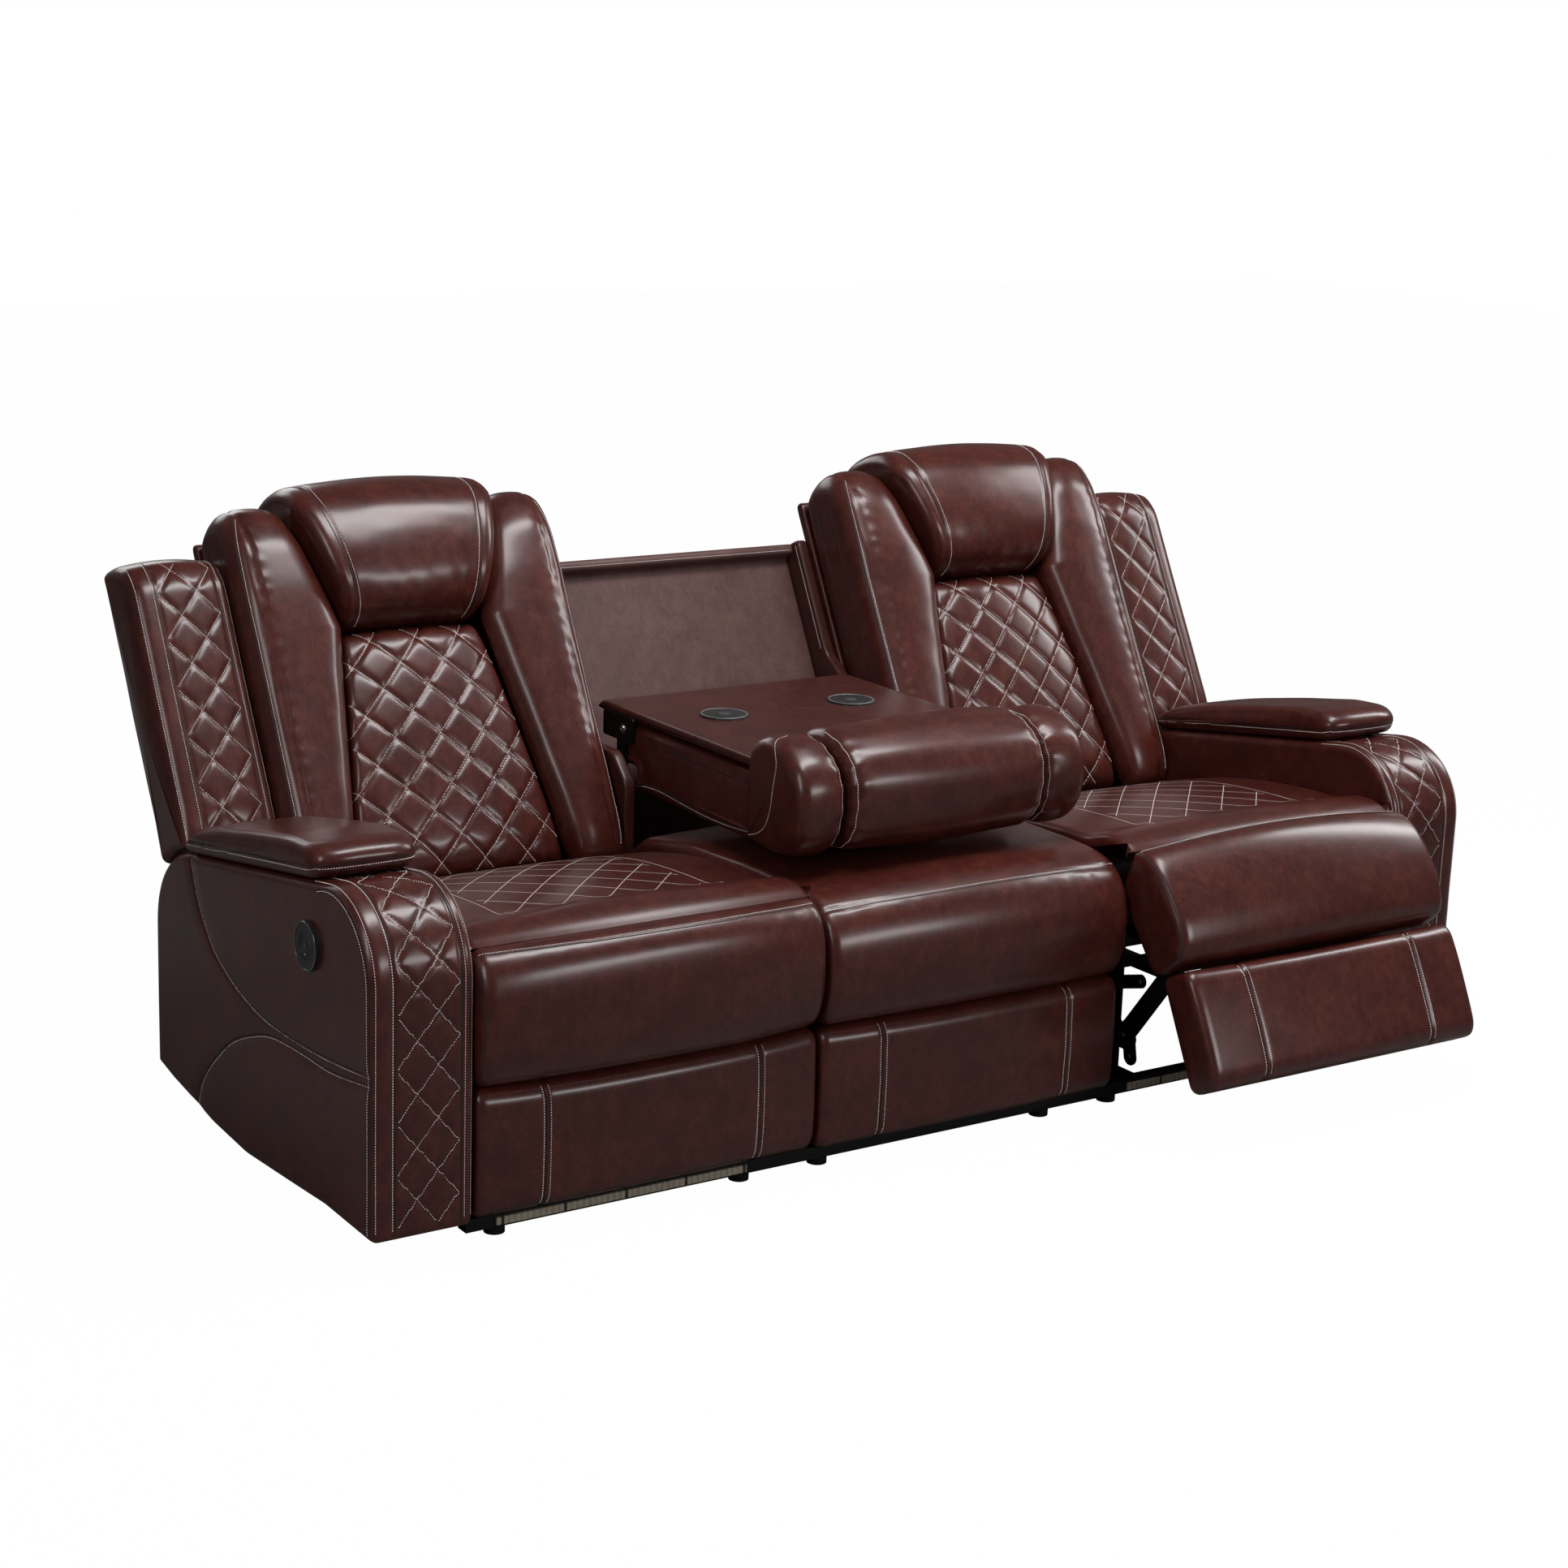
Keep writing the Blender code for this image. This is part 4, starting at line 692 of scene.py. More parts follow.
def edge_line(rings, row, keep):
    """The part of one ring whose places are wanted, as one unbroken line from end to end."""
    ring = rings[row]
    wanted = keep(ring)
    runs = []
    for start in np.flatnonzero(wanted & ~np.roll(wanted, 1)):
        order = (start + np.arange(len(ring))) % len(ring)
        stop = np.flatnonzero(~wanted[order])[0]
        runs.append(order[:stop])
    return ring[max(runs, key=len)]


# Backs

# t of the pads' rear faces, where they meet the back shell
BACK_REAR = -0.0457

# Where the pads meet the side rolls: heights s up the back, and how far from the seat's middle there
EDGE_HEIGHTS = (0.035, 0.482, 0.703)
EDGE_REACHES = (0.205, 0.134, 0.19)

# How far inside a side roll's outer edge its sunk seam and its stitches run
ROLL_SEAM_INSET = 0.030
ROLL_STITCH_INSET = 0.0365


def inner_edge(s):
    return np.interp(s, EDGE_HEIGHTS, EDGE_REACHES)


def edge_at(y, z):
    """inner_edge at a point of the side view."""
    s = (y - HINGE.y) * math.sin(LEAN) + (z - HINGE.z) * math.cos(LEAN)
    return float(inner_edge(s))


def pad_width(gap):
    """The width of a pad that stays a gap inside the side rolls."""
    def width(y, z):
        half = edge_at(y, z) - gap
        return -half, half
    return width


def back_aim(x, s, reach=0.22):
    """An aim at the back from in front of it."""
    y, z = lean(s, reach)
    return (x, y, z), (0, math.cos(LEAN), -math.sin(LEAN))


def make_lumbar(side):
    """The quilted pad of a back."""
    low, top, face, crown, quilt_start = 0.035, 0.485, 0.058, 0.014, 0.02
    rise = 0.447
    outline = [(low, BACK_REAR, 0), (top, BACK_REAR, 0), (top, 0.030, 0), (0.479, 0.052, 0.4)]
    for share in (0.93, 0.8, 0.6, 0.4, 0.25, 0.12):
        outline.append((low + share * rise, face + crown * (1 - (2 * share - 1) ** 2), 1))
    outline += [(0.05, 0.052, 0.4), (low, 0.030, 0)]
    rings = sewn_rings(leaned(outline), pad_width(0.0025), step=0.0042, ease=0.010, crown=0.014, edge=0.016,
                       across=0.0042, cap=False)
    pad = wrapped(f"lumbar_{side}", rings, LEATHER)

    def depth(places, normals):
        s, t = back_coords(places)
        u = places[:, 0]
        front = ramp(t, 0.030, 0.050)
        share = np.abs(u) / np.maximum(inner_edge(s), 0.01)
        rim = ramp(inner_edge(s) - np.abs(u), 0.004, 0.014) * ramp(s, 0.044, 0.054)
        quilting = quilt_height(u, s - quilt_start, rim, 0.0052) * front
        sunk_sides = 0.0035 * front * np.minimum(share, 1.0) ** 4
        return quilting - sunk_sides + waves(places, 0.24, 3 + SIDES[side], 2) * 0.0012
    press(pad, depth)

    def inside(u, v):
        return float(inner_edge(v + quilt_start)) - abs(u) > 0.006 and v < 0.461
    threads = Stitching(f"lumbar_stitches_{side}", pad)
    threads.quilt(lambda u, v: back_aim(u, v + quilt_start), inside, (-0.2, 0.2), (0.024, 0.461))
    place = rest_place("back", side)
    threads.finish(f"{side}_back", place)
    seat_leather(pad, f"{side}_back", f"lumbar_pad_{side}", place=place)


def make_side_roll(side, edge):
    """One of the two tall side rolls of a back. edge is -1 or 1, its side of the seat."""
    outline = [(0.025, 0.037, 0), (0.105, 0.021, 0), (0.1406, BACK_REAR, 0), (0.684, BACK_REAR, 0),
               (0.703, -0.008, 0.3), (0.702, 0.028, 1), (0.685, 0.062, 1), (0.635, 0.083, 1),
               (0.55, 0.089, 1), (0.42, 0.086, 1), (0.28, 0.084, 1), (0.16, 0.084, 1), (0.09, 0.082, 1),
               (0.049, 0.077, 0.8), (0.028, 0.0666, 0.4)]
    far = HALF + 0.0022
    seam_reach = HALF - ROLL_SEAM_INSET

    def width(y, z):
        near = edge_at(y, z)
        return (near, far) if edge > 0 else (-far, -near)
    rings = sewn_rings(leaned(outline), width, step=0.005, ease=0.011, crown=0.020, edge=0.024,
                       across=0.005, cap=False, power=2.4)
    beside = "inner" if edge == -SIDES[side] else "outer"
    roll = wrapped(f"side_roll_{side}_{beside}", rings, LEATHER)

    def depth(places, normals):
        s, t = back_coords(places)
        front = ramp(t, 0.02, 0.06)
        outer = np.abs(places[:, 0])
        seam = groove(outer - seam_reach, 0.0026) * ramp(t, 0.0, 0.02)
        puckers = ripples(s, 0.030, places, 0.11, 5 + edge, 2.2) * groove(outer - (HALF - 0.034), 0.012)
        folds = waves(places * np.array([1.0, 0.35, 0.35]), 0.08, 11 + edge + SIDES[side])
        return (0.0005 * front * (folds + puckers * (outer < seam_reach)) - 0.0030 * seam
                + 0.0012 * waves(places, 0.34, 7 + edge, 2))
    press(roll, depth)
    inward = Vector((-edge * 0.75, math.cos(LEAN) * 0.9, -math.sin(LEAN) * 0.9))

    def front_aims(inset):
        """Aims at the corner between the roll's front and its outer side, from in front and outside."""
        row = []
        for s in np.arange(0.05, 0.69, AIM_STEP):
            y, z = lean(s, 0.20)
            row.append(((edge * (HALF - inset) - inward.x * 0.155, y, z), inward))
        return row

    def side_aims(t):
        return [((edge * 0.5, *lean(s, t)), (-edge, 0, 0)) for s in np.arange(0.13, 0.69, AIM_STEP)]
    place = rest_place("back", side)
    body = f"{side}_back"
    lay_seams(Stitching(roll.name + "_stitches", roll), [front_aims(ROLL_STITCH_INSET)], body, place)
    # Painted shade: near-black strips along the roll's seams
    shaded_seams = [front_aims(ROLL_SEAM_INSET), side_aims(-0.006), side_aims(0.040)]
    lay_seams(seam_line(roll.name + "_seam", roll), shaded_seams, body, place)
    seat_leather(roll, body, f"bolster_{side}_{beside}", place=place)


def make_headrest(side):
    """The padded roll at the top of a back, with a seam near each end."""
    outline = [(0.4895, BACK_REAR, 0), (0.69, BACK_REAR, 0), (0.693, -0.088, 0.4), (0.712, -0.094, 0.6),
               (0.742, -0.076, 0.8), (0.754, -0.03, 1), (0.750, 0.03, 1), (0.728, 0.088, 1),
               (0.683, 0.124, 1), (0.61, 0.134, 1), (0.552, 0.128, 1), (0.508, 0.104, 1), (0.489, 0.06, 0.4),
               (0.488, 0.0, 0)]
    rings = sewn_rings(leaned(outline), pad_width(0.002), step=0.005, ease=0.013, crown=0.012, edge=0.020,
                       dome=0.005, across=0.006)
    pad = wrapped(f"headrest_pad_{side}", rings, LEATHER)
    seam_rows = (13, -14)

    def shown(ring):
        s, t = back_coords(ring)
        return (t > -0.03) & (s > 0.489)
    edges = [edge_line(rings, row, shown) for row in seam_rows]

    def depth(places, normals):
        s, t = back_coords(places)
        seam = np.minimum(*(gap_to(places, line) for line in edges))
        folds = waves(places * np.array([0.6, 1, 1]), 0.10, 21 + SIDES[side])
        pull = ripples(places[:, 0], 0.042, places, 0.1, 4, 1.5) * groove(s - 0.51, 0.04)
        return (0.0004 * folds - 0.0028 * groove(seam, 0.0030) + 0.0006 * pull * ramp(t, 0.04, 0.09)
                + 0.0016 * waves(places, 0.34, 31 + SIDES[side], 2))
    press(pad, depth)
    place = rest_place("back", side)
    threads = Stitching(pad.name + "_stitches", pad)
    # Painted shade: a near-black strip in each sunk seam
    dark = seam_line(pad.name + "_seam", pad)
    for line, inward in zip(edges, (1, -1)):
        threads.trace(line + np.array((inward * 0.0062, 0, 0)))
        dark.trace(line)
    threads.finish(f"{side}_back", place)
    dark.finish(f"{side}_back", place)
    seat_leather(pad, f"{side}_back", f"headrest_{side}", place=place)


def make_back_shell(side):
    """The flat covered shell behind a back, and its lugs on the hinge line."""
    low, top, rear, front = 0.02, 0.6895, -0.066, -0.0462
    beside_table, beside_arm = HALF + 0.0018, 0.3087
    outline = leaned([(low, rear), (top, rear), (top, front), (low, front)])
    edges = (-beside_table, beside_arm) if side == "right" else (-beside_arm, beside_table)
    rings = sewn_rings(outline, edges, step=0.006, ease=0.003, crown=0.0, edge=0.004, across=0.02,
                       cap=False)
    shell = wrapped(f"back_panel_{side}", rings, LEATHER)
    place = rest_place("back", side)
    seat_leather(shell, f"{side}_back", f"back_shell_{side}", place=place, smooth=HARD_ANGLE)
    for edge in (-1, 1):
        beside = "inner" if edge == -SIDES[side] else "outer"
        lug = plate(f"back_lug_{side}_{beside}", (HINGE.y, HINGE.z), lean(0.09, -0.056), 0.019,
                    edge * (HALF - 0.009), edge * (HALF - 0.015), STEEL)
        seat_steel(lug, f"{side}_back", place)


# Quilted strips of the arms and wings

# Across the sofa, from its middle: an arm, the quilted strip on its front, and the stitched and sunk lines
# and raised welts beside that strip
ARM_MIDDLE = 1.0153
ARM_HALF = 0.085
QUILT_MIDDLE = 1.0065
QUILT_HALF = 0.0515
BORDERS = (0.9350, 0.9470, 1.0650, 1.0920)
# Sunk lines inside the stitched ones, which also get strips of painted shade
SUNK_BORDERS = (BORDERS[1] + 0.0045, BORDERS[2] - 0.0045)
WELTS = (0.941, 1.0785)

# How far the diamonds are moved across the strip, to lie as in the photo
QUARTER = ARM_DIAMOND[0] / 4


def panel_depth(out, along, depth):
    """A quilted strip between its borders. out is a place's distance from the sofa's middle."""
    u = out - QUILT_MIDDLE
    inside = ramp(QUILT_HALF + 0.001 - np.abs(u), 0.0, 0.008)
    sunk = sum(groove(out - border, 0.0022) for border in SUNK_BORDERS)
    welts = groove(out - WELTS[0], 0.0045) + 0.8 * groove(out - WELTS[1], 0.010)
    return quilt_height(u + QUARTER, along, inside, depth, ARM_DIAMOND) - 0.0030 * sunk + 0.0016 * welts


def sew_panel(name, thing, body, place, aim, span, end, others=()):
    """The stitches of a quilted strip.

    aim(u, v) is an aim at u across the strip and v along it. span is what is quilted, and the lines beside
    the quilting run from its start to end. others are seams away from the strip.
    """
    threads = Stitching(name, thing)
    threads.quilt(lambda u, v: aim(u - QUARTER, v), lambda u, v: abs(u - QUARTER) < QUILT_HALF,
                  (QUARTER - QUILT_HALF, QUARTER + QUILT_HALF), span, ARM_DIAMOND)
    along = np.arange(span[0], end, AIM_STEP)
    beside = [[aim(border - QUILT_MIDDLE, v) for v in along] for border in BORDERS]
    lay_seams(threads, [*beside, *others], body, place)


def make_wing(side):
    """The quilted panel beside a back, behind the arm."""
    low, top, rear, face, round_the_arm = 0.15, 0.64, -0.058, 0.052, 0.1535
    outline = []
    for t in (face, 0.015, -0.02, rear):
        outline.append((math.sqrt(round_the_arm ** 2 - t ** 2), t, 0))
    outline += [(0.652, rear, 0), (0.643, -0.008, 1), (0.624, 0.036, 1)]
    outline += [(s, face, 1) for s in (0.587, 0.39, 0.2)]
    rings = sewn_rings(leaned(outline), (-ARM_HALF, ARM_HALF), step=0.0042, ease=0.010, crown=0.010,
                       edge=0.016, dome=0.005, across=0.0042)
    rings[:, :, 0] = (rings[:, :, 0] + ARM_MIDDLE - PITCH) * SIDES[side]
    wing = wrapped(f"wing_panel_{side}", rings, LEATHER)

    def depth(places, normals):
        s, t = back_coords(places)
        front = ramp(t, 0.040, face)
        return front * panel_depth(np.abs(places[:, 0]) + PITCH, s, 0.0040) + 0.0006 * waves(places, 0.3, 17)
    press(wing, depth)

    def aim(u, v):
        return back_aim((QUILT_MIDDLE - PITCH + u) * SIDES[side], v)
    place = rest_place("back", side)
    sew_panel(wing.name + "_stitches", wing, f"{side}_back", place, aim, (low, 0.63), top)
    # Painted shade: near-black strips in the sunk lines beside the quilting
    shaded_seams = [[back_aim((border - PITCH) * SIDES[side], s) for s in np.arange(low, top, AIM_STEP)]
                  for border in SUNK_BORDERS]
    lay_seams(seam_line(f"wing_seam_{side}", wing), shaded_seams, f"{side}_back", place)
    seat_leather(wing, f"{side}_back", f"wing_{side}", place=place)


# Hard pieces

def plate(name, start, end, half_width, left, right, material):
    """A flat bar with round ends, seen from the side, with its rims eased."""
    mesh = bmesh.new()
    bmesh.ops.create_circle(mesh, cap_ends=True, segments=32, radius=half_width)
    run = Vector((end[0] - start[0], end[1] - start[1]))
    heading = run.normalized() if run.length > 1e-6 else Vector((1, 0))
    for vert in mesh.verts:
        along, aside = vert.co.x, vert.co.y
        shift = run if along > 0 else Vector((0, 0))
        point = Vector(start) + shift + heading * along + Vector((-heading.y, heading.x)) * aside
        vert.co = (left, point.x, point.y)
    grown = bmesh.ops.extrude_face_region(mesh, geom=mesh.faces[:])
    moved = [item for item in grown["geom"] if isinstance(item, bmesh.types.BMVert)]
    bmesh.ops.translate(mesh, verts=moved, vec=(right - left, 0, 0))
    bmesh.ops.recalc_face_normals(mesh, faces=mesh.faces)
    rims = [edge for edge in mesh.edges if abs(edge.verts[0].co.x - edge.verts[1].co.x) < 1e-6
            and edge.calc_face_angle(0) > 0.8]
    bmesh.ops.bevel(mesh, geom=rims, offset=0.0008, segments=2, profile=0.5, affect="EDGES", material=-1)
    return object_of(name, mesh, material)


def pin(name, left, right):
    """The steel pin that a back turns on."""
    centre = (HINGE.y, HINGE.z)
    seat_steel(plate(name, centre, centre, 0.008, left, right, STEEL), "base")


def long_axis(node):
    """The two ends of a link, seen from the side, and how far it reaches to the left and right."""
    places, _ = points_of(bpy.data.objects[node])
    side_view = places[:, 1:]
    middle = side_view.mean(axis=0)
    _, _, axes = np.linalg.svd(side_view - middle, full_matrices=False)
    along = (side_view - middle) @ axes[0]
    ends = [middle + axes[0] * (value * 0.92) for value in (along.min(), along.max())]
    return ends, places[:, 0].min(), places[:, 0].max()


def turned(name, profile, centre, axis, material, steps=64):
    """A ring or a disc turned about an axis; profile is a closed outline of (radius, height) points."""
    axis = np.array(axis, float)
    across = np.cross(axis, (0.0, 0.0, 1.0)) if abs(axis[2]) < 0.5 else np.array((1.0, 0.0, 0.0))
    aside = np.cross(axis, across)
    rings = []
    for angle in np.linspace(0, 2 * math.pi, steps + 1):
        spoke = across * math.cos(angle) + aside * math.sin(angle)
        rings.append([np.array(centre) + spoke * radius + axis * height for radius, height in profile])
    return wrapped(name, np.array(rings), material)


# Seats

# Where the seat's tip and the top of the footrest meet, in the drawing's y
FRONT = -0.738

# Half the width of a nose seam's line, just inside the ends of its cushion
NOSE_REACH = 0.300

# On a front panel: its rows of stitches and the dark seams within each pair of them, and how high they run
BAND_ROWS = (-0.198, -0.186, 0.186, 0.198)
BAND_SEAM = 0.192
BAND_TOP = 0.246

# The two sides of a mechanism, and what its pieces there are called
EDGE_LETTERS = ((-1, "a"), (1, "b"))


def front_aim(x, z):
    """An aim at the sofa's front, from before it."""
    return (x, FRONT + SHIFT - 0.2, z), (0, 1, 0)


def make_seat(side):
    """A seat cushion: a quilted field between plain welts, and a tip at its front."""
    outline = [(-0.6252, 0.2905, 0), (-0.155, 0.2905, 0), (-0.155, 0.3704, 0), (-0.1999, 0.4048, 0.6),
               (-0.2797, 0.4266, 1), (-0.3648, 0.4446, 1), (-0.4271, 0.4537, 1), (-0.4901, 0.4591, 1),
               (-0.5524, 0.4630, 1), (-0.6148, 0.4640, 1), (-0.6503, 0.4774, 1), (-0.6797, 0.4812, 1),
               (-0.7115, 0.4784, 0.5), (-0.7372, 0.4664, -1), (-0.6998, 0.4515, 0), (-0.6649, 0.4310, 0),
               (-0.6547, 0.3994, 0), (-0.6547, 0.325, 0)]
    rings = sewn_rings(drawn(outline), (-HALF, HALF), step=0.0046, ease=0.007, crown=0.009, edge=0.016,
                       across=0.0046, cap=False)
    seat = wrapped(f"seat_{side}", rings, LEATHER)
    front, rear = -0.628 + SHIFT, -0.20 + SHIFT
    quilt_half, seam_reach, stitch_reach = 0.178, 0.181, 0.188

    def depth(places, normals):
        u, y, z = places.T
        out = np.abs(u)
        top = ramp(z, 0.40, 0.43) * ramp(normals[:, 2], 0.3, 0.7) * ramp(y, FRONT + SHIFT, -0.715 + SHIFT)
        field = ramp(quilt_half - out, 0.0, 0.01) * ramp(y, front, front + 0.012)
        welt = ramp(out, 0.18, 0.23) * ramp(HALF - out, 0.0, 0.05) * ramp(y, front - 0.03, front + 0.05)
        side_seams = groove(out - seam_reach, 0.0028) * ramp(y, front, front + 0.01)
        front_seam = groove(y - front, 0.003) * ramp(0.184 - out, 0, 0.004)
        swell = waves(places, 0.34, 43 + SIDES[side], 2)
        return top * (quilt_height(u, y, field, 0.0055) + 0.006 * welt - 0.0035 * (side_seams + front_seam)
                      + 0.0012 * swell - 0.003 * field)
    press(seat, depth)

    def above(u, v):
        return (u, v, 0.62), (0, 0, -1)
    threads = Stitching(f"seat_stitches_{side}", seat)
    threads.quilt(above, lambda u, v: abs(u) < quilt_half and v > front, (-0.18, 0.18), (front, rear))
    for edge in (-1, 1):
        threads.sew([above(edge * stitch_reach, y) for y in np.arange(front - 0.03, rear, AIM_STEP)])
    place = rest_place("seat", side)
    threads.finish(f"{side}_seat", place)
    seat_leather(seat, f"{side}_seat", f"seat_cushion_{side}", place=place)


def nose_seam(y_end, z_end, y_middle, z_middle):
    """The bowed seam over a cushion's front edge, from its left end to its right end."""
    line = []
    for x in np.linspace(-NOSE_REACH, NOSE_REACH, 240):
        bow = 1 - abs(x / HALF) ** 2.2
        line.append((x, y_end + (y_middle - y_end) * bow + SHIFT, z_end + (z_middle - z_end) * bow))
    return np.array(line)


def sew_nose(name, thing, line, body, place=None):
    """One row of stitches and, below it, painted shade in the sunk seam."""
    threads = Stitching(f"{name}_stitches", thing)
    threads.trace(line + np.array((0, -0.0012, 0.0055)))
    threads.finish(body, place)
    # Painted shade: a near-black strip in the sunk seam
    dark = seam_line(f"{name}_seam", thing)
    dark.trace(line + np.array((0, -0.0008, -0.0022)))
    dark.finish(body, place)


def nose_depth(places, line, seed):
    """A sunk seam over a cushion's front edge, with small pulls below it."""
    gap = gap_to(places, line)
    below = places[:, 2] < np.interp(places[:, 0], line[:, 0], line[:, 2])
    pull = ripples(places[:, 0], 0.047, places, 0.12, seed, 2) * groove(gap, 0.018) * below
    return -0.0034 * groove(gap, 0.0032) + 0.0005 * pull


def make_footrest(side):
    """The pad that swings out, and the steel brackets at its link's pivot."""
    outline = [(-0.7567, 0.2548, 0.3), (-0.7004, 0.2548, 0), (-0.6675, 0.264, 0), (-0.6675, 0.4235, 0),
               (-0.7015, 0.4440, 0), (-0.7374, 0.4658, -1), (-0.7490, 0.4628, 0.6), (-0.7610, 0.4545, 1.3),
               (-0.7750, 0.4370, 1.5), (-0.7860, 0.4060, 1.3), (-0.790, 0.3630, 1.1), (-0.788, 0.3150, 1),
               (-0.7760, 0.2740, 0.8)]
    rings = sewn_rings(drawn(outline), (-HALF, HALF), step=0.0045, ease=0.008, crown=0.020, edge=0.018,
                       dome=0.003, across=0.006)
    pad = wrapped(f"footrest_cushion_{side}", rings, LEATHER)
    seam = nose_seam(-0.7490, 0.4560, -0.7760, 0.4560)

    def depth(places, normals):
        front = ramp(-(places[:, 1] - SHIFT), 0.74, 0.752)
        swell = waves(places, 0.36, 53 + SIDES[side], 2)
        return front * (nose_depth(places, seam, 9) + 0.0014 * swell)
    press(pad, depth)
    place = rest_place("footrest", side)
    sew_nose(f"footrest_{side}", pad, seam, f"{side}_footrest", place)
    # Painted shade: near-black strips down the pad's end seams
    ends = [[front_aim(x, z) for z in np.arange(0.262, 0.455, AIM_STEP)] for x in (-0.3025, 0.3025)]
    lay_seams(seam_line(f"footrest_end_seam_{side}", pad), ends, f"{side}_footrest", place)
    seat_leather(pad, f"{side}_footrest", f"footrest_pad_{side}", place=place)
    tail, pivot = drawn([(-0.668, 0.285), (-0.650, 0.285)])
    for edge, letter in EDGE_LETTERS:
        near = edge * 0.2025
        bracket = plate(f"footrest_bracket_{side}_{letter}", tail, pivot, 0.016, near, near + edge * 0.005,
                        STEEL)
        seat_steel(bracket, f"{side}_footrest", place)


def make_side_links(side):
    """Pressed steel links beside the seat plates, and a wide cover on each swing link."""
    place = rest_place("seat", side)
    links = (("upper", (-0.560, 0.172), (-0.676, 0.206), 0.0125),
             ("cross", (-0.562, 0.120), (-0.664, 0.098), 0.0130),
             ("hanger", (-0.660, 0.118), (-0.670, 0.068), 0.0160),
             ("strut", (-0.572, 0.190), (-0.655, 0.106), 0.0090))
    innermost, layer, thick = 0.2085, 0.0045, 0.004
    for edge, letter in EDGE_LETTERS:
        for index, (name, start, end, half_width) in enumerate(links):
            near = edge * (innermost + layer * index)
            low, high = drawn([start, end])
            bar = plate(f"{name}_link_{side}_{letter}", low, high, half_width, near, near + edge * thick,
                        STEEL)
            seat_steel(bar, f"{side}_seat", place)
            rivet = plate(f"{name}_rivet_{side}_{letter}", high, high, 0.0055, near + edge * 0.003,
                          near + edge * 0.0085, BRIGHT)
            seat_steel(rivet, f"{side}_seat", place)

    # The link is a node of the CAD, so its place is the world's, and FLOOR is given back
    (start, end), left, right = long_axis(f"swing_link_{side}")
    for face, (edge, letter) in zip((left, right), EDGE_LETTERS):
        cover = plate(f"swing_cover_{side}_{letter}", start, end, 0.019, face + edge * 0.0005,
                      face + edge * layer, STEEL)
        seat_steel(cover, f"{side}_swing", Matrix.Translation((0, 0, FLOOR)))


def make_flap(side):
    """The panel below a footrest pad."""
    outline = [(-0.7556, 0.0480, 0), (-0.700, 0.0480, 0), (-0.6905, 0.0578, 0), (-0.6905, 0.2457, 0),
               (-0.700, 0.2534, 0), (-0.7572, 0.2507, 0), (-0.7676, 0.2336, 1), (-0.770, 0.19, 1),
               (-0.7705, 0.1500, 1), (-0.770, 0.105, 1), (-0.7676, 0.0678, 1)]
    rings = sewn_rings(drawn(outline), (-HALF, HALF), step=0.005, ease=0.007, crown=0.013, edge=0.015,
                       dome=0.003, across=0.0052)
    flap = wrapped(f"flap_cushion_{side}", rings, LEATHER)
    press(flap, lambda places, normals: band_depth(places, 61 + SIDES[side]))
    place = rest_place("flap", side)
    sew_bands(f"flap_{side}", flap, 0.057, f"{side}_flap", place)
    seat_leather(flap, f"{side}_flap", f"footrest_flap_{side}", place=place)


def band_depth(places, seed):
    """A front panel with its two sunk seams."""
    front = ramp(-(places[:, 1] - SHIFT), 0.74, 0.755)
    seam = groove(np.abs(places[:, 0]) - BAND_SEAM, 0.0032)
    folds = waves(places * np.array([1, 1, 0.7]), 0.14, seed, 2)
    return front * (0.0005 * folds - 0.004 * seam + 0.0014 * waves(places, 0.36, seed + 2, 2))


def sew_bands(name, thing, bottom, body, place=None):
    """Two rows of stitches with painted shade in the sunk seam between them, near each end of a front panel.
    """
    def upright(x):
        return [front_aim(x, z) for z in np.arange(bottom, BAND_TOP, AIM_STEP)]
    lay_seams(Stitching(f"{name}_stitches", thing), map(upright, BAND_ROWS), body, place)
    # Painted shade: a near-black strip in each sunk seam
    lay_seams(seam_line(f"{name}_seam", thing), map(upright, (-BAND_SEAM, BAND_SEAM)), body, place)


# Middle seat

def make_middle_base():
    """The front panel below the middle seat."""
    outline = [(-0.757, 0.0445, 0), (-0.05, 0.0445, 0), (-0.05, 0.2488, 0), (-0.757, 0.2488, 0),
               (-0.7695, 0.232, 1), (-0.7725, 0.15, 1), (-0.7695, 0.062, 1)]
    rings = sewn_rings(drawn(outline), (-HALF, HALF), step=0.006, ease=0.007, crown=0.012, edge=0.015,
                       dome=0.003, across=0.0055)
    panel = wrapped("middle_base", rings, LEATHER)
    press(panel, lambda places, normals: band_depth(places, 71))
    sew_bands("middle_base", panel, 0.056, "base")
    seat_leather(panel, "base", "centre_base")


def make_middle_seat():
    outline = [(-0.755, 0.2498, 0), (-0.155, 0.2498, 0), (-0.155, 0.397, 0), (-0.205, 0.432, 0.3),
               (-0.342, 0.452, 0.3), (-0.498, 0.4605, 0.3), (-0.62, 0.4610, 0.5), (-0.690, 0.4575, 0.8),
               (-0.732, 0.4480, 1.2), (-0.762, 0.4280, 1.5), (-0.781, 0.395, 1.4), (-0.789, 0.350, 1.2),
               (-0.786, 0.30, 1.0), (-0.772, 0.265, 0.6)]
    rings = sewn_rings(drawn(outline), (-HALF, HALF), step=0.005, ease=0.008, crown=0.018, edge=0.018,
                       dome=0.003, across=0.0055)
    seat = wrapped("middle_seat", rings, LEATHER)
    seam = nose_seam(-0.744, 0.4400, -0.7640, 0.4470)

    def depth(places, normals):
        open_face = np.maximum(ramp(normals[:, 2], 0.2, 0.6), ramp(-normals[:, 1], 0.2, 0.6))
        swell = waves(places, 0.36, 83, 2)
        return open_face * ramp(places[:, 2], 0.26, 0.28) * (nose_depth(places, seam, 81) + 0.0014 * swell)
    press(seat, depth)
    sew_nose("middle_seat", seat, seam, "base")
    seat_leather(seat, "base", "centre_seat")


# Cheeks, rear board and skirt

# The rear board and the cheeks: t of their rear faces, and s of their foot and their top
BOARD_REAR = -0.125
BOARD_FOOT = 0.035
BOARD_TOP = 0.618


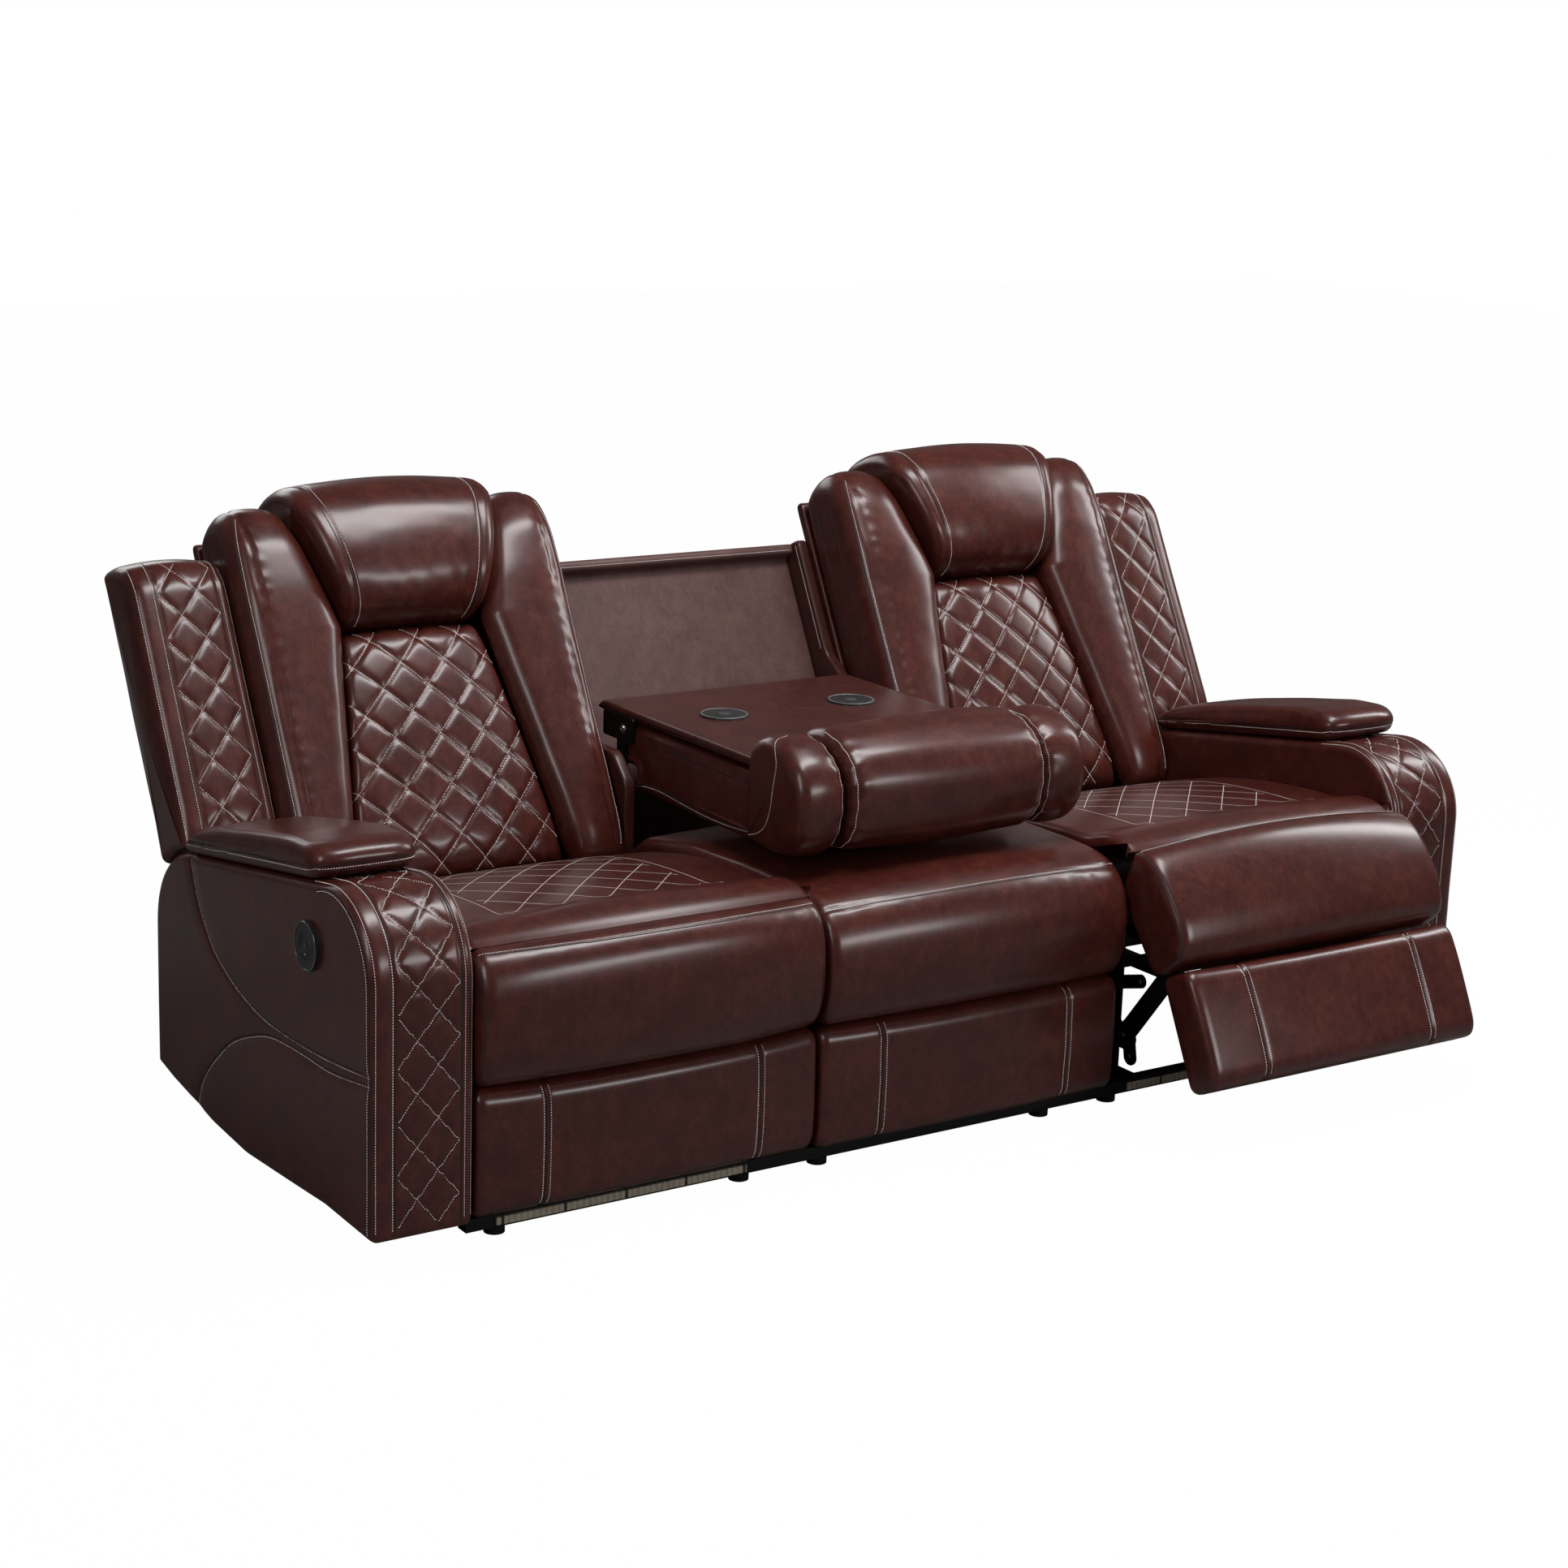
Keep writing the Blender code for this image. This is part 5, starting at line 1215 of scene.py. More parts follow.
def make_cheeks():
    """The upright boards beside the table, each with a row of stitches and the pin of a back."""
    face, shoulder = -0.055, 0.384
    leaning = leaned([(BOARD_FOOT, BOARD_REAR), (BOARD_TOP, BOARD_REAR), (BOARD_TOP, face),
                      (shoulder, face)])
    foot = drawn([(-0.15, 0.2496), (-0.05, 0.2496)])
    table_side = drawn([(-0.022, 0.562), (-0.102, 0.562), (-0.15, 0.514)])
    for side, sign in SIDES.items():
        rings = sewn_rings(foot + leaning + table_side, (-0.0109, 0.0109), step=0.006, ease=0.004,
                           crown=0.0, edge=0.005, across=0.01, cap=False)
        rings[:, :, 0] += sign * (HALF - 0.0085)
        cheek = wrapped(f"cheek_{side}", rings, TRAY_LEATHER)
        aims = [((sign * 0.2, *lean(s, -0.066)), (sign, 0, 0)) for s in np.linspace(0.40, 0.608, 90)]
        lay_seams(Stitching(f"cheek_stitches_{side}", cheek), [aims], "base")
        seat_leather(cheek, "base", f"centre_cheek_{side}", smooth=50)
        pin(f"back_pin_{side}", sign * (HALF - 0.001), sign * (HALF + 0.024))


def make_rear_board():
    """The board behind the table, with its folded top edge."""
    face, lip = -0.103, -0.075
    outline = leaned([(BOARD_FOOT, BOARD_REAR, 0), (BOARD_TOP, BOARD_REAR, 0), (BOARD_TOP, lip, 0),
                      (0.597, lip, 0), (0.595, face, 0), (BOARD_FOOT, face, 0)])
    rings = sewn_rings(outline, (-0.2868, 0.2868), step=0.005, ease=0.0035, crown=0.0, edge=0.003,
                       across=0.02, cap=False)
    # Its leather's lighter, greyer tone is painted reflection
    board = wrapped("rear_panel", rings, BOARD_LEATHER_PAINTED_REFLECTION)
    aims = [back_aim(x, 0.6035, 0.05) for x in np.arange(-0.28, 0.281, AIM_STEP)]
    lay_seams(Stitching("rear_panel_stitches", board), [aims], "base")
    seat_leather(board, "base", "rear_board", smooth=HARD_ANGLE)


def make_rear_skirt():
    """A covered board with eased rims. Its node's box is the world's, so FLOOR is given back."""
    low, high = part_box("rear_skirt")
    mesh = bmesh.new()
    bmesh.ops.create_cube(mesh, size=1.0)
    bmesh.ops.subdivide_edges(mesh, edges=mesh.edges, cuts=3, use_grid_fill=True)
    bmesh.ops.scale(mesh, verts=mesh.verts, vec=high - low)
    bmesh.ops.translate(mesh, verts=mesh.verts, vec=(high + low) / 2 + Vector((0, 0, FLOOR)))
    rims = [edge for edge in mesh.edges if edge.calc_face_angle(0) > 1.0]
    bmesh.ops.bevel(mesh, geom=rims, offset=0.007, segments=4, profile=0.5, affect="EDGES", material=-1)
    skirt = object_of("skirt_panel", mesh, TRAY_LEATHER)
    seat_leather(skirt, "base", "rear_skirt", smooth=HARD_ANGLE)


# Table, drawn folded down

# Half the tray's width, and the middle of the front roll's side view in the world
TRAY_HALF = 0.2646
ROLL_CENTRE = (-0.60 + SHIFT, 0.59)

# The padded underside: how far back its front end lies, and how high its long seam runs
PAD_FRONT = -0.503
PAD_SEAM_HEIGHT = 0.5815

# The seam along the underside and around the end roll, in the side view
J_SEAM = [(-0.118, 0.501), (-0.188, 0.505), (-0.299, 0.497), (-0.380, 0.495), (-0.446, 0.499),
          (-0.522, 0.512), (-0.565, 0.532), (-0.588, 0.565), (-0.594, 0.602), (-0.595, 0.651),
          (-0.568, 0.684)]


def beside_table(sign, y, z):
    """An aim at the table's side, from outside it."""
    return (sign * 0.4, y + SHIFT, z), (-sign, 0, 0)


def make_tray():
    """The table's flat top."""
    outline = [(0.0295, 0.6105, 0), (0.0295, 0.6145, 0), (0.012, 0.628, 0), (-0.4975, 0.628, 0),
               (-0.5015, 0.6235, 0), (-0.5015, 0.6105, 0)]
    rings = sewn_rings(drawn(outline), (-TRAY_HALF, TRAY_HALF), step=0.005, ease=0.0035, crown=0.0,
                       edge=0.006, across=0.02, cap=False)
    seat_leather(wrapped("tray_board", rings, TRAY_LEATHER), "table", "table_tray",
                 smooth=HARD_ANGLE)


def under_outline():
    """The padded underside, its rear cut back for the hinge."""
    return drawn([(-0.5035, 0.486, 0), (-0.43, 0.4845, 1), (-0.30, 0.4845, 1), (-0.17, 0.487, 1),
                  (-0.119, 0.489, 0), (-0.1185, 0.531, 0), (-0.0485, 0.531, 0), (-0.0485, 0.6045, 0),
                  (-0.5035, 0.6045, 0)])


def belly(y, z):
    """Half the width of the padded underside, fuller below than under the tray."""
    low = 1 - ramp(z, 0.500, 0.578)
    end = ramp(z, 0.484, 0.500)
    reach = TRAY_HALF - 0.0012 + 0.010 * low * end + 0.0008 * (1 - low)
    return -reach, reach


def make_table_pad():
    """The padded underside, with a long seam on each side."""
    rings = sewn_rings(under_outline(), belly, step=0.005, ease=0.006, crown=0.006, edge=0.014, dome=0.004,
                       across=0.006, cap=False)
    pad = wrapped("table_pad", rings, LEATHER, flat=0.006)
    rear = -0.106
    seam = [np.array((sign * 0.268, y + SHIFT, PAD_SEAM_HEIGHT))
            for sign in SIDES.values() for y in np.arange(PAD_FRONT, rear, 0.003)]

    def depth(places, normals):
        sunk = 0.0024 * groove(gap_to(places, seam), 0.004)
        return (0.0010 * waves(places, 0.24, 91, 2) - sunk) * ramp(np.abs(normals[:, 0]), 0.3, 0.7)
    press(pad, depth)
    curve = [(y, z) for y, z in smooth_run(J_SEAM) if y > PAD_FRONT]
    for side, sign in SIDES.items():
        stitched = [beside_table(sign, y, z) for y, z in curve]
        # Painted shade: near-black strips along the long seam and beside the stitched curve
        straight = [beside_table(sign, y, PAD_SEAM_HEIGHT) for y in np.arange(PAD_FRONT, rear, AIM_STEP)]
        bent = [beside_table(sign, y, z + 0.005) for y, z in curve]
        lay_seams(Stitching(f"table_pad_stitches_{side}", pad), [stitched], "table")
        lay_seams(seam_line(f"table_pad_seam_{side}", pad), [straight, bent], "table")
    seat_leather(pad, "table", "table_cushion")


def roll_outline(front, top):
    """A roll's side view, from shares of its depth and its height."""
    shares = [(0.0, 0.45, 1), (0.06, 0.2, 1), (0.25, 0.03, 1), (0.55, 0.0, 1), (1.0, 0.03, 0),
              (1.0, 0.78, 0), (0.93, 0.93, 0.6), (0.7, 1.0, 1), (0.4, 0.97, 1), (0.13, 0.83, 1),
              (0.02, 0.65, 1)]
    back, low = -0.5025, 0.494
    return drawn([(front + a * (back - front), low + b * (top - low), soft) for a, b, soft in shares])


def around_roll(x):
    """Aims at a roll from below it, from before it and from above it, at one place across the table."""
    row, away = [], 0.25
    for angle in np.radians(np.arange(25, 300, 1.5)):
        origin = (x, ROLL_CENTRE[0] + away * math.cos(angle), ROLL_CENTRE[1] + away * math.sin(angle))
        row.append((origin, (0, ROLL_CENTRE[0] - origin[1], ROLL_CENTRE[1] - origin[2])))
    return row


def pleats(places, count, from_joint, phase=0.0):
    """Folds that fan out around a roll, from the joint between two of its pieces."""
    angle = np.arctan2(places[:, 2] - ROLL_CENTRE[1], places[:, 1] - ROLL_CENTRE[0])
    return np.sin(angle * count + 1.2 * np.sin(angle * 3) + phase) * groove(from_joint, 0.02)


def roll_front(y):
    """1 on what a roll shows, 0 where it meets the tray and the underside."""
    return ramp(-(y - SHIFT), 0.51, 0.54)


def make_front_roll():
    """The table's padded front roll."""
    rings = sewn_rings(roll_outline(-0.681, 0.689), (-0.1985, 0.1985), step=0.005, ease=0.012, crown=0.008,
                       edge=0.024, dome=0.004, across=0.0055)
    roll = wrapped("table_front_roll", rings, LEATHER)
    top_seam_y = -0.520 + SHIFT

    def depth(places, normals):
        u, y, z = places.T
        top_seam = groove(y - top_seam_y, 0.003) * ramp(z, 0.62, 0.66)
        return roll_front(y) * (0.0007 * pleats(places, 16, 0.186 - np.abs(u))
                                + 0.0018 * waves(places, 0.28, 97, 2)) - 0.003 * top_seam
    press(roll, depth)
    lay_seams(Stitching("table_roll_stitches", roll), map(around_roll, (-0.189, 0.189)), "table")
    # Painted shade: a near-black strip in the sunk seam across the roll's top
    shaded_roll_seam = [((x, top_seam_y, 0.8), (0, 0, -1)) for x in np.arange(-0.185, 0.186, AIM_STEP)]
    lay_seams(seam_line("table_roll_seam", roll), [shaded_roll_seam], "table")
    seat_leather(roll, "table", "table_roll")


def make_end_roll(side, sign):
    """The bolster at one end of the front roll."""
    rings = sewn_rings(roll_outline(-0.666, 0.679), (-0.0478, 0.0478), step=0.005, ease=0.012, crown=0.007,
                       edge=0.022, dome=0.006, across=0.0055)
    rings[:, :, 0] += sign * 0.2493
    end = wrapped(f"table_end_roll_{side}", rings, LEATHER)

    def depth(places, normals):
        near = np.abs(places[:, 0]) - 0.2
        return roll_front(places[:, 1]) * (0.0009 * pleats(places, 14, near - 0.012, sign)
                                           + 0.0010 * waves(places, 0.2, 99 + sign, 2))
    press(end, depth)
    beyond = [beside_table(sign, y, z) for y, z in smooth_run(J_SEAM) if y < PAD_FRONT - 0.0015]
    lay_seams(Stitching(f"table_end_stitches_{side}", end), [around_roll(sign * 0.213), beyond], "table")
    seat_leather(end, "table", f"table_roll_end_{side}")


def make_charger(side, sign):
    """The pale rim line of a charging pad and its faint mark, on the pad's top."""
    centre = (sign * 0.135, -0.19 + SHIFT, 0.6313)
    rim = turned(f"charger_rim_{side}", [(0.0388, 0.0), (0.0412, 0.0), (0.0408, 0.0006), (0.0392, 0.0006)],
                 centre, (0, 0, 1), GREY)
    seat_plastic(rim, "table")
    width, height = 0.0013, 0.00025
    for name, radius in (("inner", 0.0045), ("outer", 0.0085)):
        profile = [(radius, 0.0), (radius + width, 0.0), (radius + width, height), (radius, height)]
        mark = turned(f"charger_mark_{side}_{name}", profile, centre, (0, 0, 1), GREY, steps=40)
        seat_plastic(mark, "table")


def make_table_bolt(side, sign):
    """The bright bolt on a hinge plate, with its washer."""
    profile = [(0.0, 0.0), (0.0088, 0.0), (0.0088, 0.0010), (0.0066, 0.0014), (0.0060, 0.0034),
               (0.0045, 0.0041), (0.0026, 0.0041), (0.0022, 0.0030), (0.0, 0.0030)]
    centre = (sign * (TRAY_HALF + 0.0053), -0.0745 + SHIFT, 0.5935)
    seat_steel(turned(f"table_bolt_{side}", profile, centre, (sign, 0, 0), BRIGHT, steps=40), "table")


def make_table():
    make_tray()
    make_table_pad()
    make_front_roll()
    for side, sign in SIDES.items():
        make_end_roll(side, sign)
        make_charger(side, sign)
        make_table_bolt(side, sign)


# Arms

# An arm's side view: its front, and the centres and radii of its round nose and its round rear end
ARM_FRONT = -0.768
NOSE = (-0.638, 0.43)
NOSE_RADIUS = 0.13
TAIL = (-0.12, 0.33)
TAIL_RADIUS = 0.149

# The slope of an arm's top, which touches both round ends
NOSE_TO_TAIL = Vector(TAIL) - Vector(NOSE)
ARM_SLOPE = (math.atan2(NOSE_TO_TAIL.y, NOSE_TO_TAIL.x)
             + math.asin((TAIL_RADIUS - NOSE_RADIUS) / NOSE_TO_TAIL.length))

# The two sweeping seams on an arm's outer face
SWEEP = [(-0.118, 0.471), (-0.134, 0.430), (-0.150, 0.400), (-0.178, 0.369), (-0.211, 0.340),
         (-0.278, 0.310), (-0.365, 0.288), (-0.451, 0.281), (-0.574, 0.284), (-0.673, 0.292),
         (-0.776, 0.304)]
ARCH = [(-0.132, 0.056), (-0.157, 0.109), (-0.206, 0.158), (-0.275, 0.209), (-0.354, 0.243),
        (-0.429, 0.263), (-0.533, 0.269), (-0.634, 0.271), (-0.776, 0.291)]

# The loose pad on an arm: its half width, length and height, how far from the sofa's middle it starts, and
# how high its seam runs
ARM_PAD_HALF = 0.0875
ARM_PAD_LENGTH = 0.51
ARM_PAD_HEIGHT = 0.058
ARM_PAD_INNER = 0.9308
ARM_PAD_SEAM = 0.021


def round_end(centre, radius, first, last):
    """An arc of 24 points around a centre."""
    y, z = centre
    return [(y + radius * math.cos(angle), z + radius * math.sin(angle))
            for angle in np.linspace(first, last, 24)]


def arm_outline():
    """An arm's side view: its foot, its round rear end and its round nose."""
    outline = [(ARM_FRONT, 0.046), (-0.6086, 0.051), (-0.4612, 0.043), (-0.3217, 0.036), (-0.1942, 0.045),
               (-0.1304, 0.056), (-0.036, 0.070), (0.029, 0.084)]
    top = math.pi / 2 + ARM_SLOPE
    outline += round_end(TAIL, TAIL_RADIUS, 0, top) + round_end(NOSE, NOSE_RADIUS, top, math.pi)
    return drawn([(y, z, 0) for y, z in outline])


def arm_front_path():
    """The line up the arm's front and over its nose, as places and outward directions."""
    nose_y, nose_z = NOSE[0] + SHIFT, NOSE[1]
    path = [((ARM_FRONT + SHIFT, z), (-1.0, 0.0)) for z in np.arange(0.062, nose_z, AIM_STEP)]
    for angle in np.arange(math.pi, math.pi / 2 + ARM_SLOPE, -AIM_STEP / NOSE_RADIUS):
        outward = (math.cos(angle), math.sin(angle))
        path.append(((nose_y + NOSE_RADIUS * outward[0], nose_z + NOSE_RADIUS * outward[1]), outward))
    (y, z), outward = path[-1]
    for run in np.arange(AIM_STEP, 0.06, AIM_STEP):
        path.append(((y + run * math.cos(ARM_SLOPE), z + run * math.sin(ARM_SLOPE)), outward))
    return path


def rim_seam(inset):
    """A line on an arm's outer face, set in from its front and its round nose."""
    reach = NOSE_RADIUS - inset
    line = [(ARM_FRONT + inset, z) for z in np.arange(0.058, NOSE[1], 0.006)]
    for angle in np.arange(math.pi, math.radians(68), -0.03):
        line.append((NOSE[0] + reach * math.cos(angle), NOSE[1] + reach * math.sin(angle)))
    return np.array(line)


def make_arm(side):
    """A covered arm with its quilted front strip, its side seams and a hinge pin."""
    sign = SIDES[side]
    face = ARM_MIDDLE + ARM_HALF
    half_width = ARM_HALF - 0.0003
    rings = sewn_rings(arm_outline(), (-half_width, half_width), step=0.0044, ease=0.006, crown=0.0,
                       edge=0.014, dome=0.003, across=0.0042, cap=False)
    rings[:, :, 0] = (rings[:, :, 0] + ARM_MIDDLE) * sign
    arm = wrapped(f"arm_panel_{side}", rings, LEATHER, flat=0.0042)
    path = arm_front_path()
    run = AIM_STEP * np.arange(len(path))
    seams = [smooth_run(SWEEP), smooth_run(ARCH)]
    lines = [np.array([(sign * face, y + SHIFT, z) for y, z in seam]) for seam in seams]

    def depth(places, normals):
        out = np.abs(places[:, 0])
        gap = np.full(len(places), FAR)
        v = np.zeros(len(places))
        for (y, z), distance in zip([place for place, _ in path], run):
            near = np.hypot(places[:, 1] - y, places[:, 2] - z)
            v = np.where(near < gap, distance, v)
            gap = np.minimum(near, gap)
        front = ramp(0.014 - gap, 0.0, 0.006)
        outer = ramp(out, face - 0.004, face - 0.001)
        seam = np.minimum(*(gap_to(places, line) for line in lines))
        padding = 0.0016 * ramp(seam, 0.0, 0.030) - 0.0026 * groove(seam, 0.0048)
        swell = waves(places, 0.5, 101 + sign, 2)
        return front * panel_depth(out, v, 0.0040) + outer * padding + 0.0007 * swell
    press(arm, depth)

    def aim(u, v):
        index = min(len(path) - 1, int(round(v / AIM_STEP)))
        (y, z), (dy, dz) = path[index]
        return (sign * (QUILT_MIDDLE + u), y + dy * 0.06, z + dz * 0.06), (0, -dy, -dz)

    def outside(seam, lift=0.0):
        return [((sign * 1.2, y + SHIFT, z + lift), (-sign, 0, 0)) for y, z in seam]
    others = [outside(seam) for seam in [*seams, rim_seam(0.011)]]
    sew_panel(f"arm_stitches_{side}", arm, "base", None, aim, (0.0, run[-1]), run[-1], others)
    # Painted shade: near-black strips along the side seams and in the sunk lines beside the quilting
    shaded_seams = [outside(seam, 0.0042) for seam in seams] + [outside(rim_seam(0.007))]
    shaded_seams += [[aim(border - QUILT_MIDDLE, v) for v in run] for border in SUNK_BORDERS]
    lay_seams(seam_line(f"arm_seam_{side}", arm), shaded_seams, "base")
    seat_leather(arm, "base", f"arm_{side}")
    pin(f"arm_pin_{side}", sign * 0.932, sign * 0.906)


def make_arm_pad(side):
    """The loose pad on an arm."""
    sign = SIDES[side]
    rise = Vector((math.cos(ARM_SLOPE), math.sin(ARM_SLOPE)))
    top = Vector((-rise.y, rise.x))
    start = Vector(NOSE) + top * NOSE_RADIUS + rise * 0.012
    shares = [(0.0, 0.35), (0.03, 0.03), (0.97, 0.0), (1.0, 0.12), (0.985, 0.38), (0.9, 0.70), (0.72, 0.87),
              (0.45, 0.98), (0.2, 1.02), (0.05, 0.88), (0.0, 0.6)]
    outline = []
    for along, height in shares:
        point = start + rise * along * ARM_PAD_LENGTH + top * (height * ARM_PAD_HEIGHT + 0.0006)
        outline.append((point.x + SHIFT, point.y, 1.0 if height > 0.36 else 0.0))
    rings = sewn_rings(outline, (-ARM_PAD_HALF, ARM_PAD_HALF), step=0.0046, ease=0.007, crown=0.005,
                       edge=0.015, dome=0.003, across=0.005)
    share = rings[:, :, 0] / ARM_PAD_HALF
    reach = (rings[:, :, 1] - SHIFT - start.x) * rise.x + (rings[:, :, 2] - start.y) * rise.y
    rounding = 0.020 * np.abs(share) ** 4 * np.clip(1 - reach / 0.16, 0, 1)
    rings[:, :, 1] += rounding * rise.x
    rings[:, :, 2] += rounding * rise.y
    rings[:, :, 0] = (rings[:, :, 0] + (ARM_PAD_INNER + ARM_PAD_HALF)) * sign
    pad = wrapped(f"arm_cushion_{side}", rings, LEATHER)
    around = pad_seam(rings, start, rise, top)

    def depth(places, normals):
        soft = ramp(normals[:, 2], -0.2, 0.3)
        seam = groove(gap_to(places, around), 0.003)
        return soft * 0.0012 * waves(places, 0.26, 113 + sign, 2) - 0.0022 * seam
    press(pad, depth)
    threads = Stitching(f"arm_cushion_stitches_{side}", pad)
    threads.trace(around - np.array((0, *top)) * 0.004)
    threads.finish("base")
    # Painted shade: a near-black strip in the sunk seam around the pad
    dark = seam_line(f"arm_cushion_seam_{side}", pad)
    dark.trace(around + np.array((0, *top)) * 0.0015)
    dark.finish("base")
    seat_leather(pad, "base", f"arm_pad_{side}")


def pad_seam(rings, start, rise, top):
    """The line around an arm pad at a third of its height."""
    half_length = ARM_PAD_LENGTH / 2
    places = rings.reshape(-1, 3)
    height = (places[:, 1] - SHIFT - start.x) * top.x + (places[:, 2] - start.y) * top.y
    along = (places[:, 1] - SHIFT - start.x) * rise.x + (places[:, 2] - start.y) * rise.y
    middle = places[:, 0].mean()
    level = np.abs(height - ARM_PAD_SEAM) < 0.004
    across_share = (places[:, 0] - middle)[level] / ARM_PAD_HALF
    along_share = (along[level] - half_length) / half_length
    angle = np.arctan2(across_share, along_share)
    spread = np.maximum(np.abs(across_share), np.abs(along_share))
    line = []
    for heading in np.arange(-math.pi, math.pi + 0.01, 0.012):
        near = np.abs((angle - heading + math.pi) % (2 * math.pi) - math.pi) < 0.05
        if not near.any():
            continue
        scale = spread[near].max() / max(abs(math.sin(heading)), abs(math.cos(heading)))
        point = start + rise * (half_length + half_length * scale * math.cos(heading)) + top * ARM_PAD_SEAM
        line.append((middle + ARM_PAD_HALF * scale * math.sin(heading), point.x + SHIFT, point.y))
    return np.array(line)


def make_switch(side):
    """What a recline switch shows: a bright rim, the button's dished ring, a mark and a pale port."""
    sign = SIDES[side]
    face = ARM_MIDDLE + ARM_HALF + 0.0003
    y, z, port_drop = -0.5655 + SHIFT, 0.4505, 0.0125
    front = sign * (face + 0.0072)
    profile = [(0.0350, 0.0), (0.0384, 0.0), (0.0378, 0.0010), (0.0362, 0.0014), (0.0352, 0.0006)]
    rim = turned(f"switch_rim_{side}", profile, (sign * (face + 0.0080), y, z), (sign, 0, 0), GLOSS)
    seat_plastic(rim, "base")
    profile = [(0.0158, 0.0), (0.0182, 0.0), (0.0178, 0.0008), (0.0162, 0.0008)]
    ring = turned(f"button_ring_{side}", profile, (front, y, z), (sign, 0, 0), PLASTIC)
    seat_plastic(ring, f"{side}_button")
    profile = [(0.0, 0.0), (0.0044, 0.0), (0.0044, 0.0012), (0.0030, 0.0014), (0.0022, 0.0004),
               (0.0, 0.0004)]
    dimple = turned(f"button_dimple_{side}", profile, (front, y, z), (sign, 0, 0), GLOSS, steps=32)
    seat_plastic(dimple, f"{side}_button")
    for name, size, material in (("frame", (0.0012, 0.0080, 0.0044), DARK_RUBBER),
                                 ("tongue", (0.0018, 0.0046, 0.0016), PORT)):
        mesh = bmesh.new()
        bmesh.ops.create_cube(mesh, size=1.0)
        bmesh.ops.scale(mesh, verts=mesh.verts, vec=size)
        bmesh.ops.translate(mesh, verts=mesh.verts, vec=(front, y, z - port_drop))
        bmesh.ops.bevel(mesh, geom=mesh.edges[:], offset=0.0004, segments=2, profile=0.5, affect="EDGES",
                        material=-1)
        seat_plastic(object_of(f"port_{name}_{side}", mesh, material), f"{side}_button", HARD_ANGLE)


# Camera, lights and studio

# The camera, solved from the photo's straight edges: its turn in radians, its place in the drawing's frame,
# and its focal length in the photo's pixels
CAMERA_YAW = 0.598753
CAMERA_PITCH = 0.245184
CAMERA_ROLL = 0.034310
CAMERA_PLACE = (-2.90847, -4.44662, 1.77894)
FOCAL_PIXELS = 3677.56
PHOTO_PIXELS = 1932
SENSOR = 36

# The studio: how bright its walls are to the sofa, how much of the floor the camera sees as plain white, and
# how bright that white is
AMBIENT = 0.11
FLOOR_WHITE_SHARE = 0.94
FLOOR_GLOW = 1.05

# Each softbox: its name, its place, what it points at, its size and its power in watts
LAMPS = (("top_softbox", (0.3, -0.7, 3.3), (0, 0.2, 0.4), (2.4, 0.7), 86),
         ("right_softbox", (3.2, -0.4, 2.5), (0.2, 0.2, 0.6), (0.7, 1.7), 46),
         ("left_softbox", (-3.4, -1.8, 2.4), (-0.2, 0.2, 0.5), (0.6, 1.8), 32),
         ("front_fill", (1.3, -4.7, 1.9), (0.1, 0, 0.4), (2.2, 0.8), 66),
         ("rear_fill", (-0.6, 4.4, 2.6), (0, 0.3, 0.5), (3.0, 1.6), 46))


def make_camera():
    yaw, pitch, roll = CAMERA_YAW, CAMERA_PITCH, CAMERA_ROLL
    forward = Vector((math.sin(yaw) * math.cos(pitch), math.cos(yaw) * math.cos(pitch), -math.sin(pitch)))
    right = Vector((math.cos(yaw), -math.sin(yaw), 0))
    up = right.cross(forward)
    right_tilted = right * math.cos(roll) + up * math.sin(roll)
    up_tilted = up * math.cos(roll) - right * math.sin(roll)
    camera = bpy.data.cameras.new("camera")
    camera.sensor_width = SENSOR
    camera.lens = FOCAL_PIXELS / PHOTO_PIXELS * SENSOR
    camera.clip_end = 60
    holder = bpy.data.objects.new("camera", camera)
    turned_by = Matrix((right_tilted, up_tilted, -forward)).transposed().to_4x4()
    x, y, z = CAMERA_PLACE
    holder.matrix_world = Matrix.Translation((x, y + SHIFT, z - FLOOR)) @ turned_by
    bpy.context.scene.collection.objects.link(holder)
    bpy.context.scene.camera = holder


def make_floor():
    """A floor that the camera sees as white with a faint shadow, and the sofa as a dim white."""
    mesh = bmesh.new()
    bmesh.ops.create_grid(mesh, x_segments=1, y_segments=1, size=14)
    floor = object_of("studio_floor", mesh)
    material = bpy.data.materials.new("studio_floor")
    material.use_nodes = True
    tree = material.node_tree
    shader = tree.nodes["Principled BSDF"]
    shader.inputs["Base Color"].default_value = (0.20, 0.20, 0.20, 1)
    shader.inputs["Roughness"].default_value = 0.9
    shader.inputs["Specular IOR Level"].default_value = 0.0
    floor.data.materials.append(material)
    glow = tree.nodes.new("ShaderNodeEmission")
    glow.inputs["Color"].default_value = (1, 1, 1, 1)
    glow.inputs["Strength"].default_value = FLOOR_GLOW
    ray = tree.nodes.new("ShaderNodeLightPath")
    blend = tree.nodes.new("ShaderNodeMixShader")
    share = tree.nodes.new("ShaderNodeMath")
    share.operation = "MULTIPLY"
    share.inputs[1].default_value = FLOOR_WHITE_SHARE
    tree.links.new(ray.outputs["Is Camera Ray"], share.inputs[0])
    tree.links.new(share.outputs[0], blend.inputs[0])
    tree.links.new(shader.outputs[0], blend.inputs[1])
    tree.links.new(glow.outputs[0], blend.inputs[2])
    tree.links.new(blend.outputs[0], tree.nodes["Material Output"].inputs[0])


